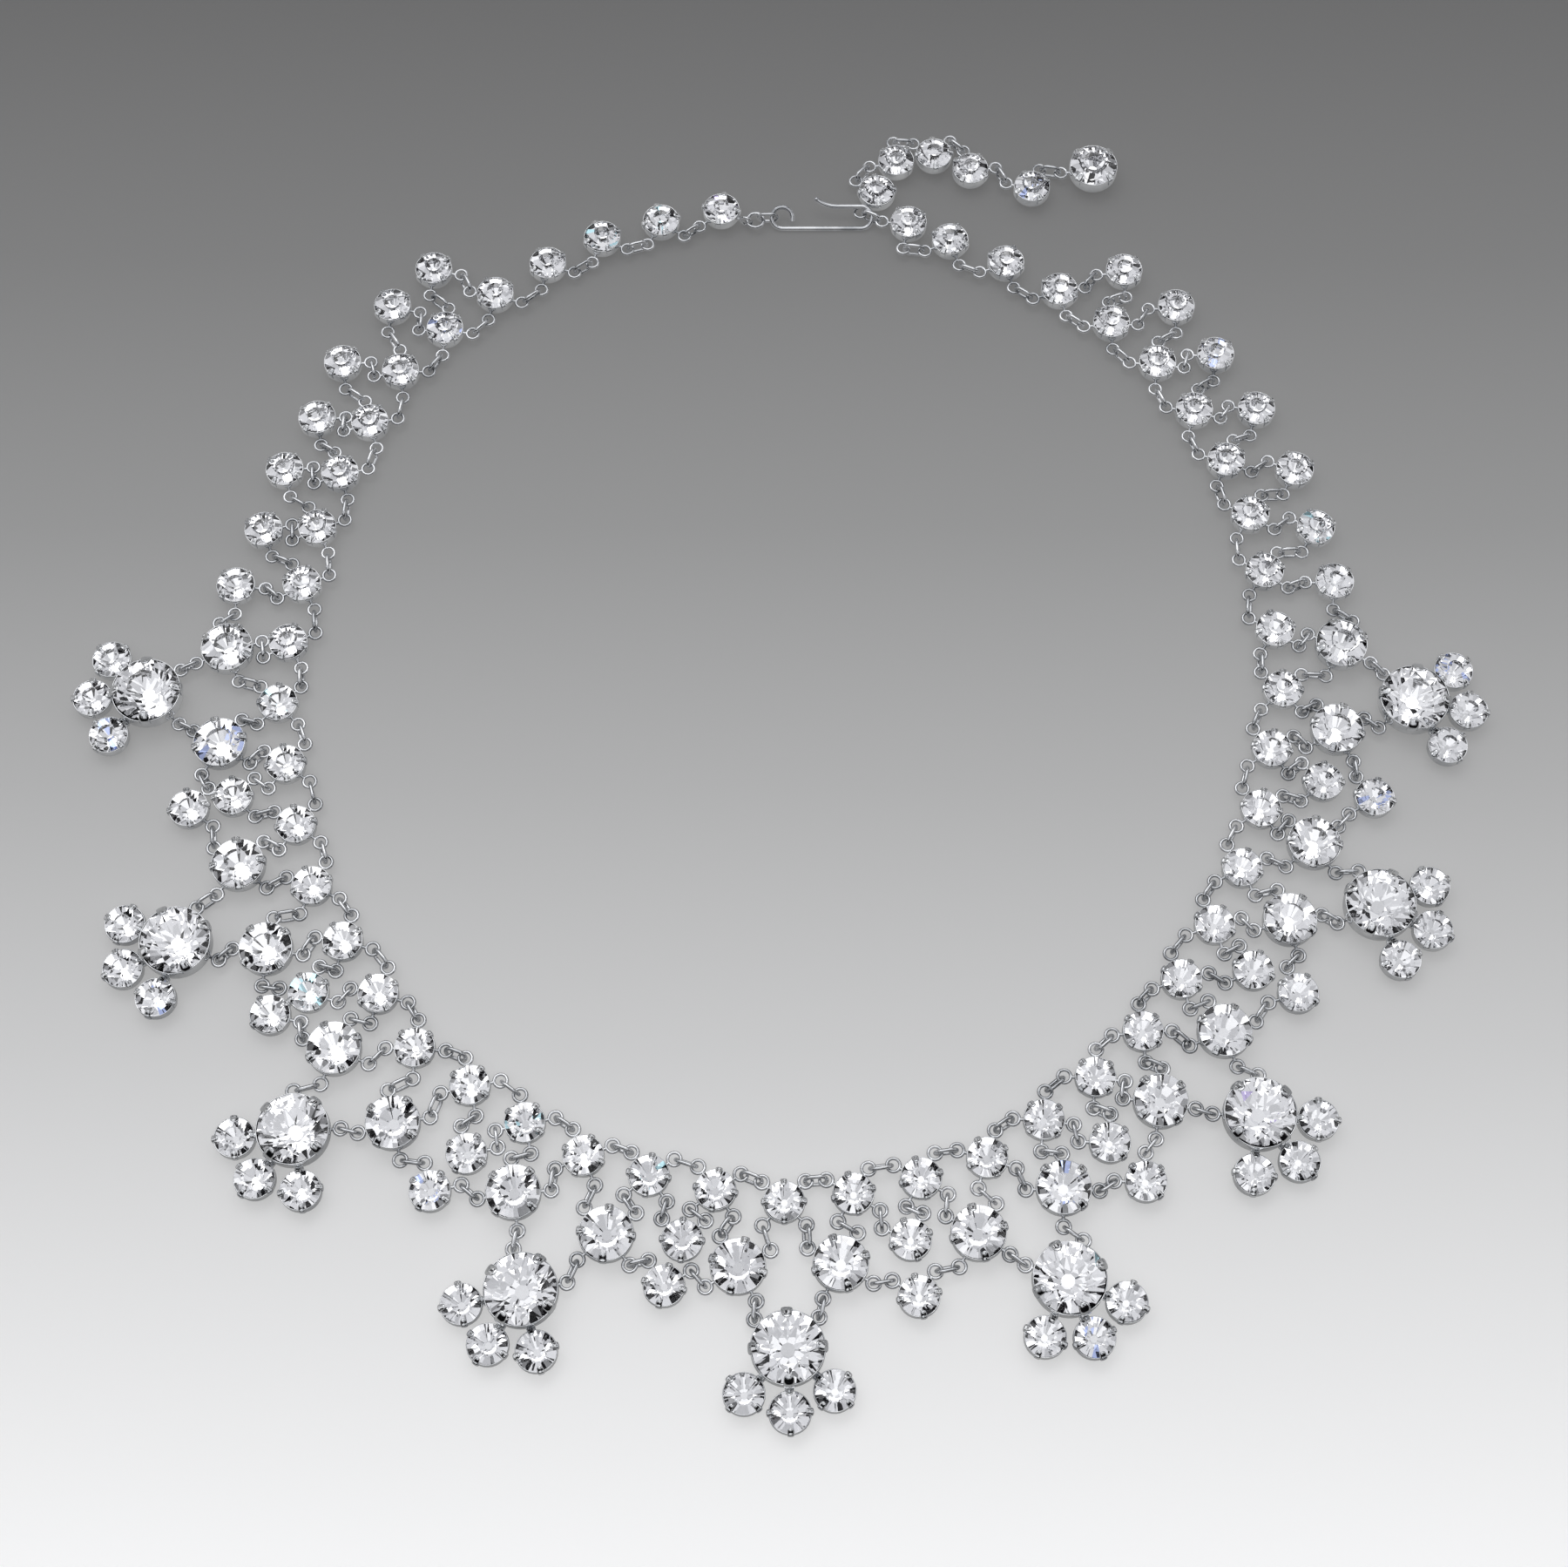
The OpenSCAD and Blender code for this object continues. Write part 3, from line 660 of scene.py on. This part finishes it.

# %% [markdown]
# Crystals are set by hand, so no two are turned or tilted quite alike. That is what gives each one its own
# pattern of light and dark. The tree adds a small random turn to each copy, then a random value to each
# crown facet that picks its painted flash, and gives the facets under the girdle their foil.

# %% Crystals on points
crystal_tree, given = new_tree(
    "set_crystals",
    {
        "Crystal": ("Object", None),
        "Loose turn": ("Float", 9.0),
        "Loose tilt": ("Float", 1.6),
        "Seed": ("Int", 1),
        "Glass": ("Material", glass),
        "Foil": ("Material", foil),
    },
)
tree = crystal_tree
stone = add(tree, "GeometryNodeObjectInfo", {"Object": given["Crystal"], "As Instance": True})
turn = add(tree, "GeometryNodeInputNamedAttribute", {"Name": "turn"}, data_type="FLOAT_VECTOR")
tilt = add(tree, "ShaderNodeMath", {0: given["Loose tilt"], 1: DEG}, operation="MULTIPLY").outputs[0]
spin = add(tree, "ShaderNodeMath", {0: given["Loose turn"], 1: DEG}, operation="MULTIPLY").outputs[0]
high = add(tree, "ShaderNodeCombineXYZ", {"X": tilt, "Y": tilt, "Z": spin}).outputs[0]
low = add(tree, "ShaderNodeVectorMath", {0: high, "Scale": -1.0}, operation="SCALE").outputs[0]
limits = {"Min": low, "Max": high, "Seed": given["Seed"]}
wobble = add(tree, "FunctionNodeRandomValue", limits, data_type="FLOAT_VECTOR")
angles = add(tree, "ShaderNodeVectorMath", {0: turn.outputs[0], 1: wobble.outputs[0]}, operation="ADD")
copies = add(
    tree,
    "GeometryNodeInstanceOnPoints",
    {"Points": given["Points"], "Instance": stone.outputs["Geometry"], "Rotation": angles.outputs[0]},
)
real = add(tree, "GeometryNodeRealizeInstances", {"Geometry": copies.outputs[0]})
# painted flashes: a random value on each small crown facet; the glass tints the few highest blue, violet or
# aqua
chance = add(tree, "FunctionNodeRandomValue", {"Seed": given["Seed"]})
crown = add(tree, "GeometryNodeInputNamedAttribute", {"Name": "crown"}, data_type="BOOLEAN").outputs[0]
painted_flashes = add(
    tree,
    "GeometryNodeStoreNamedAttribute",
    {"Geometry": real.outputs[0], "Selection": crown, "Name": "flash", "Value": chance.outputs[1]},
    domain="FACE",
)
flat = add(tree, "GeometryNodeSetShadeSmooth", {"Geometry": painted_flashes.outputs[0], "Shade Smooth": False})
clear = add(tree, "GeometryNodeSetMaterial", {"Geometry": flat.outputs[0], "Material": given["Glass"]})
foiled = add(tree, "GeometryNodeInputNamedAttribute", {"Name": "foiled"}, data_type="BOOLEAN")
backed = add(
    tree,
    "GeometryNodeSetMaterial",
    {"Geometry": clear.outputs[0], "Selection": foiled.outputs[0], "Material": given["Foil"]},
)
add(tree, "NodeGroupOutput", {"Mesh": backed.outputs[0]})
print(crystal_tree.name, "has", len(tree.nodes), "nodes")

# %% [markdown]
# ## Cups and claws
# A cup is spun from thin brass: a flat back, a wall that opens upwards and a thin rim that is burnished over
# the crystal's girdle. Inside, a cone follows the crystal's back. A lathe does the same with a profile.
# Four claws stand on the wall and fold over the crystal. Each is a strip, domed on top and rounded at its
# tip, swept along its bend. Sweeping a section by code, ring by ring, lets it narrow towards the tip.


# %% Lathe
def lathe(name, profile, around):
    """Spins (radius, height) rows that start and end on the axis into a closed shell."""
    inner = profile[1:-1]
    verts = [(0, 0, profile[0][1]), (0, 0, profile[-1][1])]
    verts += [at(r, 360 * i / around, z) for r, z in inner for i in range(around)]
    faces = []
    last = 2 + (len(inner) - 1) * around
    for i in range(around):
        n = (i + 1) % around
        faces += [[0, 2 + n, 2 + i], [1, last + i, last + n]]
        for k in range(len(inner) - 1):
            a = 2 + k * around
            faces.append([a + i, a + n, a + around + n, a + around + i])
    return pattern(name, verts, faces)


# %% Cups
SLACK = 0.03
UNDER = 0.1


def cup(kind, around):
    """A cup with a little slack round its crystal's girdle and a little space under its back."""
    R, r, g = CUP_R[kind], CRYSTAL_R[kind] + SLACK, GIRDLE_Z[kind]
    low = heights_of(kind)[2]
    outside = [(0, 0), (0.62 * R, 0), (0.69 * R, 0.04), (0.83 * R, 0.17 * g), (0.93 * R, 0.34 * g)]
    outside += [(0.985 * R, 0.47 * g), (R, 0.6 * g), (R, g - 0.02)]
    rim = [(R - 0.02, g + 0.08), (R - 0.05, g + 0.12), (r - 0.02, g + 0.13)]
    rim += [(r - 0.04, g + 0.1), (r, g + 0.05)]
    lean = math.cos(22.5 * DEG)
    floor_z = CULET_Z - UNDER
    seat = [(r, low - r * (1 - lean) - UNDER), ((CULET_Z - low + r) / lean, floor_z), (0, floor_z)]
    return lathe(f"cup_{kind}", outside + rim + seat, around)


cups = [cup(SMALL, 32), cup(MEDIUM, 40), cup(LARGE, 56)]
print("faces of each cup:", [len(c.data.polygons) for c in cups])

# %% Claws
CLAW_WIDTH = [0.9, 1.15, 1.5]
CLAW_THICK = [0.34, 0.36, 0.42]
CLAW_LIFT = [0.04, 0.04, 0.16]
CLAW_SIDES = 10


def claw(kind):
    """A strip up the cup's wall and over the crystal's edge, as rings of points along its bend."""
    R, r, g = CUP_R[kind], CRYSTAL_R[kind], GIRDLE_Z[kind]
    width, thick = CLAW_WIDTH[kind], CLAW_THICK[kind]
    slope = math.atan(CROWN[kind] / (1 - TABLE[kind]))
    lift = CLAW_LIFT[kind] + thick / 2
    out, up = lift * math.sin(slope), lift * math.cos(slope)

    def over(share):
        """A point above the crown, at a share of the crystal's radius."""
        return (share * r + out, g + CROWN[kind] * r * (1 - share) / (1 - TABLE[kind]) + up)

    bend = [(R - 0.04, g - 1.1), (R + 0.05, g - 0.7), (R + 0.11, g - 0.3), (R + 0.11, g + 0.02)]
    bend += [(R + 0.03, g + 0.25)]
    spine = bend + [over(share) for share in (0.98, 0.9, 0.83, 0.77, 0.735, 0.72)]
    # shares of the full width and thickness, from the foot to the tip
    broad = [0.9, 1, 1, 1, 1, 1, 0.98, 0.92, 0.78, 0.52, 0.22]
    deep = [0.6, 0.9, 1, 1, 1, 1, 1, 0.95, 0.85, 0.6, 0.3]
    verts, faces, m = [], [], CLAW_SIDES
    for k, (x, z) in enumerate(spine):
        x0, z0 = spine[max(k - 1, 0)]
        x1, z1 = spine[min(k + 1, len(spine) - 1)]
        along = Vector((x1 - x0, z1 - z0)).normalized()
        for i in range(m):
            across, height = math.cos(360 / m * i * DEG), math.sin(360 / m * i * DEG)
            side = math.copysign(abs(across) ** 0.8, across) * width / 2 * broad[k]
            rise = height * thick / 2 * deep[k]
            verts.append((x + along[1] * rise, side, z - along[0] * rise))
    for k in range(len(spine) - 1):
        for i in range(m):
            a, n = m * k + i, m * k + (i + 1) % m
            faces.append([a, n, n + m, a + m])
    faces += [list(range(m)), list(range(len(verts) - m, len(verts)))]
    return pattern(f"claw_{kind}", verts, faces)


claws = [claw(kind) for kind in (SMALL, MEDIUM, LARGE)]
print("faces of a claw:", len(claws[0].data.polygons))

# %% [markdown]
# The cup's tree makes a few claws around the middle of each cup, at equal turns, and joins them to it. A
# stone of another kind could have three or six claws, so their number is an input.

# %% A cup with its claws, on points
cup_tree, given = new_tree(
    "claw_cups",
    {"Cup": ("Object", None), "Claw": ("Object", None), "Claws": ("Int", 4), "Finish": ("Material", plating)},
)
tree = cup_tree
spots = add(tree, "GeometryNodeMeshLine", {"Count": given["Claws"], "Offset": (0, 0, 0)})
number = add(tree, "GeometryNodeInputIndex").outputs[0]
part = add(tree, "ShaderNodeMath", {0: 2 * math.pi, 1: given["Claws"]}, operation="DIVIDE")
bearing = add(tree, "ShaderNodeMath", {0: number, 1: part.outputs[0]}, operation="MULTIPLY")
spin = add(tree, "ShaderNodeCombineXYZ", {"Z": bearing.outputs[0]})
one = add(tree, "GeometryNodeObjectInfo", {"Object": given["Claw"], "As Instance": True})
four = add(
    tree,
    "GeometryNodeInstanceOnPoints",
    {"Points": spots.outputs[0], "Instance": one.outputs["Geometry"], "Rotation": spin.outputs[0]},
)
body = add(tree, "GeometryNodeObjectInfo", {"Object": given["Cup"], "As Instance": True})
both = add(tree, "GeometryNodeJoinGeometry", {"Geometry": [body.outputs["Geometry"], four.outputs[0]]})
whole = add(tree, "GeometryNodeGeometryToInstance", {"Geometry": both.outputs[0]})
scatter(tree, given, whole.outputs[0], given["Finish"])
print(cup_tree.name, "has", len(tree.nodes), "nodes")

# %% [markdown]
# ## Eyes and links
# An eye is a ring of wire on a short stem, soldered to the cup's side. It lies flat, so the link that hangs
# in it stands on its edge. A link is a wire bent into a long loop. On a chain that was laid down by hand the
# links lean to one side or the other, and a fixed seed leans them here.

# %% Wire eyes on points
WIRE_SIDES = 10
eye_tree, given = new_tree(
    "wire_eyes",
    {
        "Ring radius": ("Float", 0.9 * MM),
        "Wire": ("Float", 0.46 * MM),
        "Stem": ("Float", 0.5 * MM),
        "Stem start": ("Float", 1.7 * MM),
        "Finish": ("Material", wire_plating),
    },
)
tree = eye_tree
path = add(tree, "GeometryNodeCurvePrimitiveCircle", {"Resolution": 28, "Radius": given["Ring radius"]})
half = add(tree, "ShaderNodeMath", {0: given["Wire"], 1: 0.5}, operation="MULTIPLY").outputs[0]
section = add(tree, "GeometryNodeCurvePrimitiveCircle", {"Resolution": WIRE_SIDES, "Radius": half})
loop = add(tree, "GeometryNodeCurveToMesh", {"Curve": path.outputs[0], "Profile Curve": section.outputs[0]})
width = add(tree, "ShaderNodeMath", {0: given["Stem"], 1: 0.5}, operation="MULTIPLY").outputs[0]
ends = {0: given["Stem start"], 1: given["Ring radius"]}
length = add(tree, "ShaderNodeMath", ends, operation="SUBTRACT").outputs[0]
total = add(tree, "ShaderNodeMath", ends, operation="ADD").outputs[0]
middle = add(tree, "ShaderNodeMath", {0: total, 1: -0.5}, operation="MULTIPLY").outputs[0]
rod = add(tree, "GeometryNodeMeshCylinder", {"Vertices": WIRE_SIDES, "Radius": width, "Depth": length})
spot = add(tree, "ShaderNodeCombineXYZ", {"X": middle}).outputs[0]
stem = add(
    tree,
    "GeometryNodeTransform",
    {"Geometry": rod.outputs["Mesh"], "Translation": spot, "Rotation": (0, 90 * DEG, 0)},
)
eye = add(tree, "GeometryNodeJoinGeometry", {"Geometry": [loop.outputs[0], stem.outputs[0]]})
whole = add(tree, "GeometryNodeGeometryToInstance", {"Geometry": eye.outputs[0]})
scatter(tree, given, whole.outputs[0], given["Finish"])
print(eye_tree.name, "has", len(tree.nodes), "nodes")

# %% Links on points
ALMOST_HALF = 0.499
link_tree, given = new_tree(
    "wire_links",
    {
        "Length": ("Float", 3.5 * MM),
        "Height": ("Float", 2.4 * MM),
        "Wire": ("Float", 0.56 * MM),
        "Finish": ("Material", wire_plating),
    },
)
tree = link_tree
long = add(tree, "ShaderNodeMath", {0: given["Length"], 1: given["Wire"]}, operation="SUBTRACT").outputs[0]
tall = add(tree, "ShaderNodeMath", {0: given["Height"], 1: given["Wire"]}, operation="SUBTRACT").outputs[0]
bend = add(tree, "ShaderNodeMath", {0: tall, 1: ALMOST_HALF}, operation="MULTIPLY").outputs[0]
box = add(tree, "GeometryNodeCurvePrimitiveQuadrilateral", {"Width": long, "Height": tall}).outputs[0]
track = add(tree, "GeometryNodeFilletCurve", {"Curve": box, "Radius": bend, "Count": 8}, mode="POLY")
half = add(tree, "ShaderNodeMath", {0: given["Wire"], 1: 0.5}, operation="MULTIPLY").outputs[0]
section = add(tree, "GeometryNodeCurvePrimitiveCircle", {"Resolution": WIRE_SIDES, "Radius": half})
loop = add(tree, "GeometryNodeCurveToMesh", {"Curve": track.outputs[0], "Profile Curve": section.outputs[0]})
whole = add(tree, "GeometryNodeGeometryToInstance", {"Geometry": loop.outputs[0]})
scatter(tree, given, whole.outputs[0], given["Finish"])
print(link_tree.name, "has", len(tree.nodes), "nodes")

# %% [markdown]
# ## The necklace, group by group
# Each group of cups stands for its solids, and carries its eyes. The crystals are pieces of their own, in
# the same places. The frame's solids stay for the simulation and aren't shown. A row is one copy's place in
# millimetres and its three turns in degrees.

# %% Rows of places for each group
MOST_LEAN = 24
leans = random.Random(12)


def stone_rows(which):
    return [((*place(i), 0), (0, 0, FACING[i])) for i in which]


def eye_rows(which):
    """One eye for each tie that ends at one of these stones, facing away from the stone."""
    corners = [(i, c) for a, c, b, d in ties for i, c in ((a, c), (b, d)) if i in which]
    return [((*eye_at(i, c), EYE_Z), (0, 0, FACING[i] + c)) for i, c in corners]


def link_rows(group):
    """One link for each tie, half-way between its two eyes and on edge, give or take its lean."""
    rows = []
    for a, corner, b, other in group:
        p, q = eye_at(a, corner), eye_at(b, other)
        lean = leans.uniform(-MOST_LEAN, MOST_LEAN)
        rows.append(((*((p + q) / 2), EYE_Z), (90 + lean, 0, bearing_of(q - p))))
    return rows


def dress(name, which, kind, nodes, seed):
    """Cups with eyes, and crystals, for one group of stones of one kind."""
    rows = stone_rows(which)
    metal = grow(name + "_cups", cup_tree, rows, cup=cups[kind], claw=claws[kind])
    wires = grow(name + "_eyes", eye_tree, eye_rows(which))
    stones_piece = grow(name + "_crystals", crystal_tree, rows, crystal=crystals[kind], seed=seed)
    return merge(name + "_cups", [metal, wires]), stones_piece


print("links:", len(ties))

# %% Collar, upper rows, net and free end
groups = {
    "collar": (range(LAST + 1), SMALL, ["collar_left", "collar_right"]),
    "upper": (range(UPPER_LEFT, MEDIUMS), SMALL, ["upper_stones"]),
    "space": (range(INNER, DROPS), SMALL, ["space_stones"]),
    "net": (range(MEDIUMS, INNER), MEDIUM, [f"medium_stone_{k}" for k in range(1, 19)]),
    "tail": (range(TAIL, len(stones) - 1), SMALL, [f"tail_stone_{k}" for k in range(1, 6)]),
    "end": (range(len(stones) - 1, len(stones)), MEDIUM, ["tail_stone_6"]),
}
pieces = []
for seed, (name, (which, kind, nodes)) in enumerate(groups.items()):
    metal, sparkle = dress(name, which, kind, nodes, seed)
    pieces.append((metal, "plated_metal", nodes))
    pieces.append((sparkle, "crystal", []))

# the first stone has a second eye, on edge, that holds the clasp's rings
CLASP_BEARING = -20
clasp_eye = place(0) + EYE_R[SMALL] * unit(CLASP_BEARING)
upright = grow("clasp_eye", eye_tree, [((*clasp_eye, EYE_Z), (90, 0, CLASP_BEARING))])
merge("collar_cups", [pieces[0][0], upright])

# %% [markdown]
# ## The drops
# Each drop is one soldered piece of metal: a large cup, three small ones fanned out below it, and a short
# bridge of solder to each. The bridges are small blocks with their edges rounded.

# %% Where the petals and bridges lie
PETAL_REACH, PETAL_SPREAD = 8.0, 47
BRIDGE_REACH, BRIDGE_Z = 5.05, 1.4
large_rows = stone_rows(range(DROPS, TAIL))
petal_rows, bridge_rows = [], []
for i in range(DROPS, TAIL):
    for side in (-1, 0, 1):
        way = FACING[i] + side * PETAL_SPREAD
        petal_rows.append(((*(place(i) + PETAL_REACH * unit(way)), 0), (0, 0, way + 180)))
        bridge_rows.append(((*(place(i) + BRIDGE_REACH * unit(way)), BRIDGE_Z), (0, 0, way)))
print("petals:", len(petal_rows))

# %% The solder bridge and its tree
BRIDGE_SIZE = (1.1, 1.2, 1)
BRIDGE_ROUND = 0.22
block = bmesh.new()
bmesh.ops.create_cube(block, size=1, matrix=Matrix.Diagonal((*BRIDGE_SIZE, 1)))
bmesh.ops.bevel(block, geom=block.edges[:], offset=BRIDGE_ROUND, segments=3, affect="EDGES")
corner_rows = [tuple(v.co) for v in block.verts]
face_rows = [[v.index for v in f.verts] for f in block.faces]
block.free()
bridge = pattern("bridge", corner_rows, face_rows)

bridge_tree, given = new_tree("solder_bridges", {"Bridge": ("Object", None), "Finish": ("Material", plating)})
one = add(bridge_tree, "GeometryNodeObjectInfo", {"Object": given["Bridge"], "As Instance": True})
scatter(bridge_tree, given, one.outputs["Geometry"], given["Finish"])
print("faces of a bridge:", len(face_rows))

# %% Drops
drop_metal = [
    grow("drop_cups", cup_tree, large_rows, cup=cups[LARGE], claw=claws[LARGE]),
    grow("drop_eyes", eye_tree, eye_rows(range(DROPS, TAIL))),
    grow("petal_cups", cup_tree, petal_rows, cup=cups[SMALL], claw=claws[SMALL]),
    grow("drop_bridges", bridge_tree, bridge_rows, bridge=bridge),
]
drop_nodes = [f"drop_setting_{k}" for k in range(1, 10)]
pieces.append((merge("drop_cups", drop_metal), "plated_metal", drop_nodes))
petals = grow("petal_crystals", crystal_tree, petal_rows, crystal=crystals[SMALL], seed=21)
pieces.append((petals, "crystal", []))
large = grow("large_crystals", crystal_tree, large_rows, crystal=crystals[LARGE], seed=22)
pieces.append((large, "crystal", [f"drop_crystal_{k}" for k in range(1, 10)]))

# %% [markdown]
# ## Links, rings and hook
# The links of each group join its stones. Two more hang at the clasp: a round ring that lies flat, and a
# long one on edge. The hook is one bent wire, and its solid is swept so finely that it needs no new mesh.

# %% Links and the clasp's two rings
RING_SIZE = 3.1 * MM
FLAT_RING_AT = (-3.92 + SHIFT[0], 76.07 + SHIFT[1], 1.2)
LONG_RING_AT = (-1.98 + SHIFT[0], 76.53 + SHIFT[1], EYE_Z)
for name, group in {
    "collar": collar_ties,
    "upper": upper_ties,
    "net": net_ties,
    "space": space_ties,
    "tail": tail_ties,
}.items():
    wires = grow(name + "_wire", link_tree, link_rows(group))
    if name == "tail":
        flat_ring, long_ring = (FLAT_RING_AT, (0, 0, 0)), (LONG_RING_AT, (90, 0, 0))
        rings = [
            grow("flat_ring", link_tree, [flat_ring], length=RING_SIZE, height=RING_SIZE),
            grow("long_ring", link_tree, [long_ring]),
        ]
        wires = merge("tail_wire", [wires, *rings])
    pieces.append((wires, "plated_metal", [name + "_links"]))

# %% The hook keeps its own solid
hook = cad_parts["hook"]
hook.data.materials.clear()
hook.data.materials.append(wire_plating)
print("hook:", len(hook.data.polygons), "faces")

# %% [markdown]
# ## Joining the frame
# Every piece rides on the necklace's one body, and the solids that it stands for are hidden.

# %% Ride and replace
for piece, slot, nodes in pieces:
    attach(piece, "root")
    if nodes:
        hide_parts(*nodes)
print("pieces:", len(pieces))

# %% [markdown]
# ## Floor, light and surroundings
# The photograph's backdrop runs from mid grey behind the clasp to nearly white under the drops, so the
# floor's colour runs the same way. It also glows a little, a painted glow that keeps the shadows on it soft.
# In the metal and the glass it shows as one even grey, because the photograph's metal is as bright at
# the back as in front.

# %% Floor
FLOOR_RADIUS = 4
FLOOR_Z = -0.05 * MM
# PAPER_GLOW is the strength of the floor's painted glow, light that no lamp gives
PAPER_SHARE, PAPER_GLOW = 0.6, 0.6
NEAR_EDGE, FAR_EDGE = -0.1155, 0.1266
BACKDROP = [(0, "#F6F6F6"), (0.14, "#E2E2E2"), (0.28, "#CACACA"), (0.44, "#B0B0B0"), (0.61, "#959595")]
BACKDROP += [(0.8, "#7F7F7F"), (1, "#6D6D6D")]
MIRRORED = "#A6A6A6"
floor_shape = bmesh.new()
bmesh.ops.create_circle(floor_shape, cap_ends=True, segments=96, radius=FLOOR_RADIUS)
floor_mesh = bpy.data.meshes.new("floor")
floor_shape.to_mesh(floor_mesh)
floor_shape.free()
floor = bpy.data.objects.new("floor", floor_mesh)
floor.location.z = FLOOR_Z
bpy.context.scene.collection.objects.link(floor)
paper, tree, shader = new_finish("seamless_paper")
where = add(tree, "ShaderNodeTexCoord").outputs["Object"]
depth = add(tree, "ShaderNodeSeparateXYZ", {"Vector": where}).outputs["Y"]
share = add(tree, "ShaderNodeMapRange", {"Value": depth, "From Min": NEAR_EDGE, "From Max": FAR_EDGE})
seen = ramp(tree, share.outputs[0], BACKDROP)
ray = add(tree, "ShaderNodeLightPath").outputs["Is Glossy Ray"]
tone = mix(tree, ray, seen, colour(MIRRORED))
matt = add(tree, "ShaderNodeVectorMath", {0: tone, "Scale": PAPER_SHARE}, operation="SCALE").outputs[0]
tree.links.new(matt, shader.inputs["Base Color"])
tree.links.new(tone, shader.inputs["Emission Color"])
# painted glow: the floor gives off light of its own, which lifts its shadows
shader.inputs["Emission Strength"].default_value = PAPER_GLOW
shader.inputs["Specular IOR Level"].default_value = 0
floor.data.materials.append(paper)
floor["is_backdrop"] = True
print("floor tones from", BACKDROP[0][1], "in front to", BACKDROP[-1][1], "behind")

# %% [markdown]
# One broad soft box above and behind gives the light its direction. The rest comes from the surroundings,
# and they are what the crystals show: a cut stone is a set of small mirrors, and without something pale,
# something grey and something black around it, all its facets look alike. So cells of a few tones stand
# around the necklace like a studio's reflector cards. Right above it they are all pale, low down they are
# darker, and low in front a black flag gives the front edges of the stones their dark facets.

# %% Soft box
BOX_AT = Vector((-0.1, 0.4, 0.9))
lamp = bpy.data.lights.new("top_box", "AREA")
lamp.shape, lamp.size, lamp.size_y, lamp.energy = "RECTANGLE", 0.8, 0.4, 1.3
soft_box = bpy.data.objects.new("top_box", lamp)
soft_box.location = BOX_AT
soft_box.rotation_euler = (-BOX_AT).to_track_quat("-Z", "Y").to_euler()
bpy.context.scene.collection.objects.link(soft_box)
print("soft box", round(BOX_AT.length, 2), "m from the necklace,", round(lamp.energy, 1), "W")

# %% Tones of the cards
# where each tone starts on a cell's random value from 0 to 1
CARDS = [(0, "#D0D1D4"), (0.4, "#F4F5F7"), (0.62, "#B2B3B6"), (0.79, "#7E7F81"), (0.865, "#0A0A0C")]
ROOF_CARDS = [(0, "#CBCCCF"), (0.45, "#EEEFF1"), (0.7, "#B8B9BC")]
LOW_CARDS = [(0, "#141415"), (0.32, "#6A6A6C"), (0.5, "#DADADC")]
FLAG, HORIZON = "#0A0A0B", "#8C8C8C"
CARD_CELLS = 6
ROOM_STRENGTH = 1.3
print("tones:", len(CARDS), "around,", len(ROOF_CARDS), "above,", len(LOW_CARDS), "low down")


# %% Surroundings
def fade(tree, value, start, end):
    """0 up to the start and 1 from the end on."""
    return add(tree, "ShaderNodeMapRange", {"Value": value, "From Min": start, "From Max": end}).outputs[0]


world = bpy.data.worlds.new("studio")
world.use_nodes = True
tree = world.node_tree
where = add(tree, "ShaderNodeTexCoord").outputs["Generated"]
cards = add(tree, "ShaderNodeTexVoronoi", {"Vector": where, "Scale": CARD_CELLS, "Randomness": 0.9})
pick = add(tree, "ShaderNodeSeparateColor", {"Color": cards.outputs["Color"]}).outputs[0]
axes = add(tree, "ShaderNodeSeparateXYZ", {"Vector": where}).outputs
around, over, dim = (ramp(tree, pick, tones, "CONSTANT") for tones in (CARDS, ROOF_CARDS, LOW_CARDS))
upper = mix(tree, fade(tree, axes["Z"], 0.91, 0.93), around, over)
ring = mix(tree, fade(tree, axes["Z"], 0.54, 0.48), upper, dim)
ahead, low = fade(tree, axes["Y"], -0.1, -0.4), fade(tree, axes["Z"], 0.72, 0.58)
flag = add(tree, "ShaderNodeMath", {0: ahead, 1: low}, operation="MULTIPLY").outputs[0]
shaded = mix(tree, flag, ring, colour(FLAG))
room = mix(tree, fade(tree, axes["Z"], 0.16, 0.24), colour(HORIZON), shaded)
tree.links.new(room, tree.nodes["Background"].inputs["Color"])
tree.nodes["Background"].inputs["Strength"].default_value = ROOM_STRENGTH
bpy.context.scene.world = world
print("surroundings:", len(tree.nodes), "nodes")

# %% [markdown]
# Light inside a cut stone turns back from facet to facet many times before it comes out, so light paths
# need about a dozen bounces. With too few, the far side of a crystal goes black. The Standard view keeps
# white paper white and black facets black, as a catalogue picture has them.

# %% Light paths and view
BOUNCES = 12
bpy.context.scene.cycles.glossy_bounces = BOUNCES
bpy.context.scene.cycles.transmission_bounces = BOUNCES
bpy.context.scene.view_settings.view_transform = "Standard"
print("bounces:", BOUNCES)

# %% Sizes, then the end
box = [list(corner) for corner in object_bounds()]
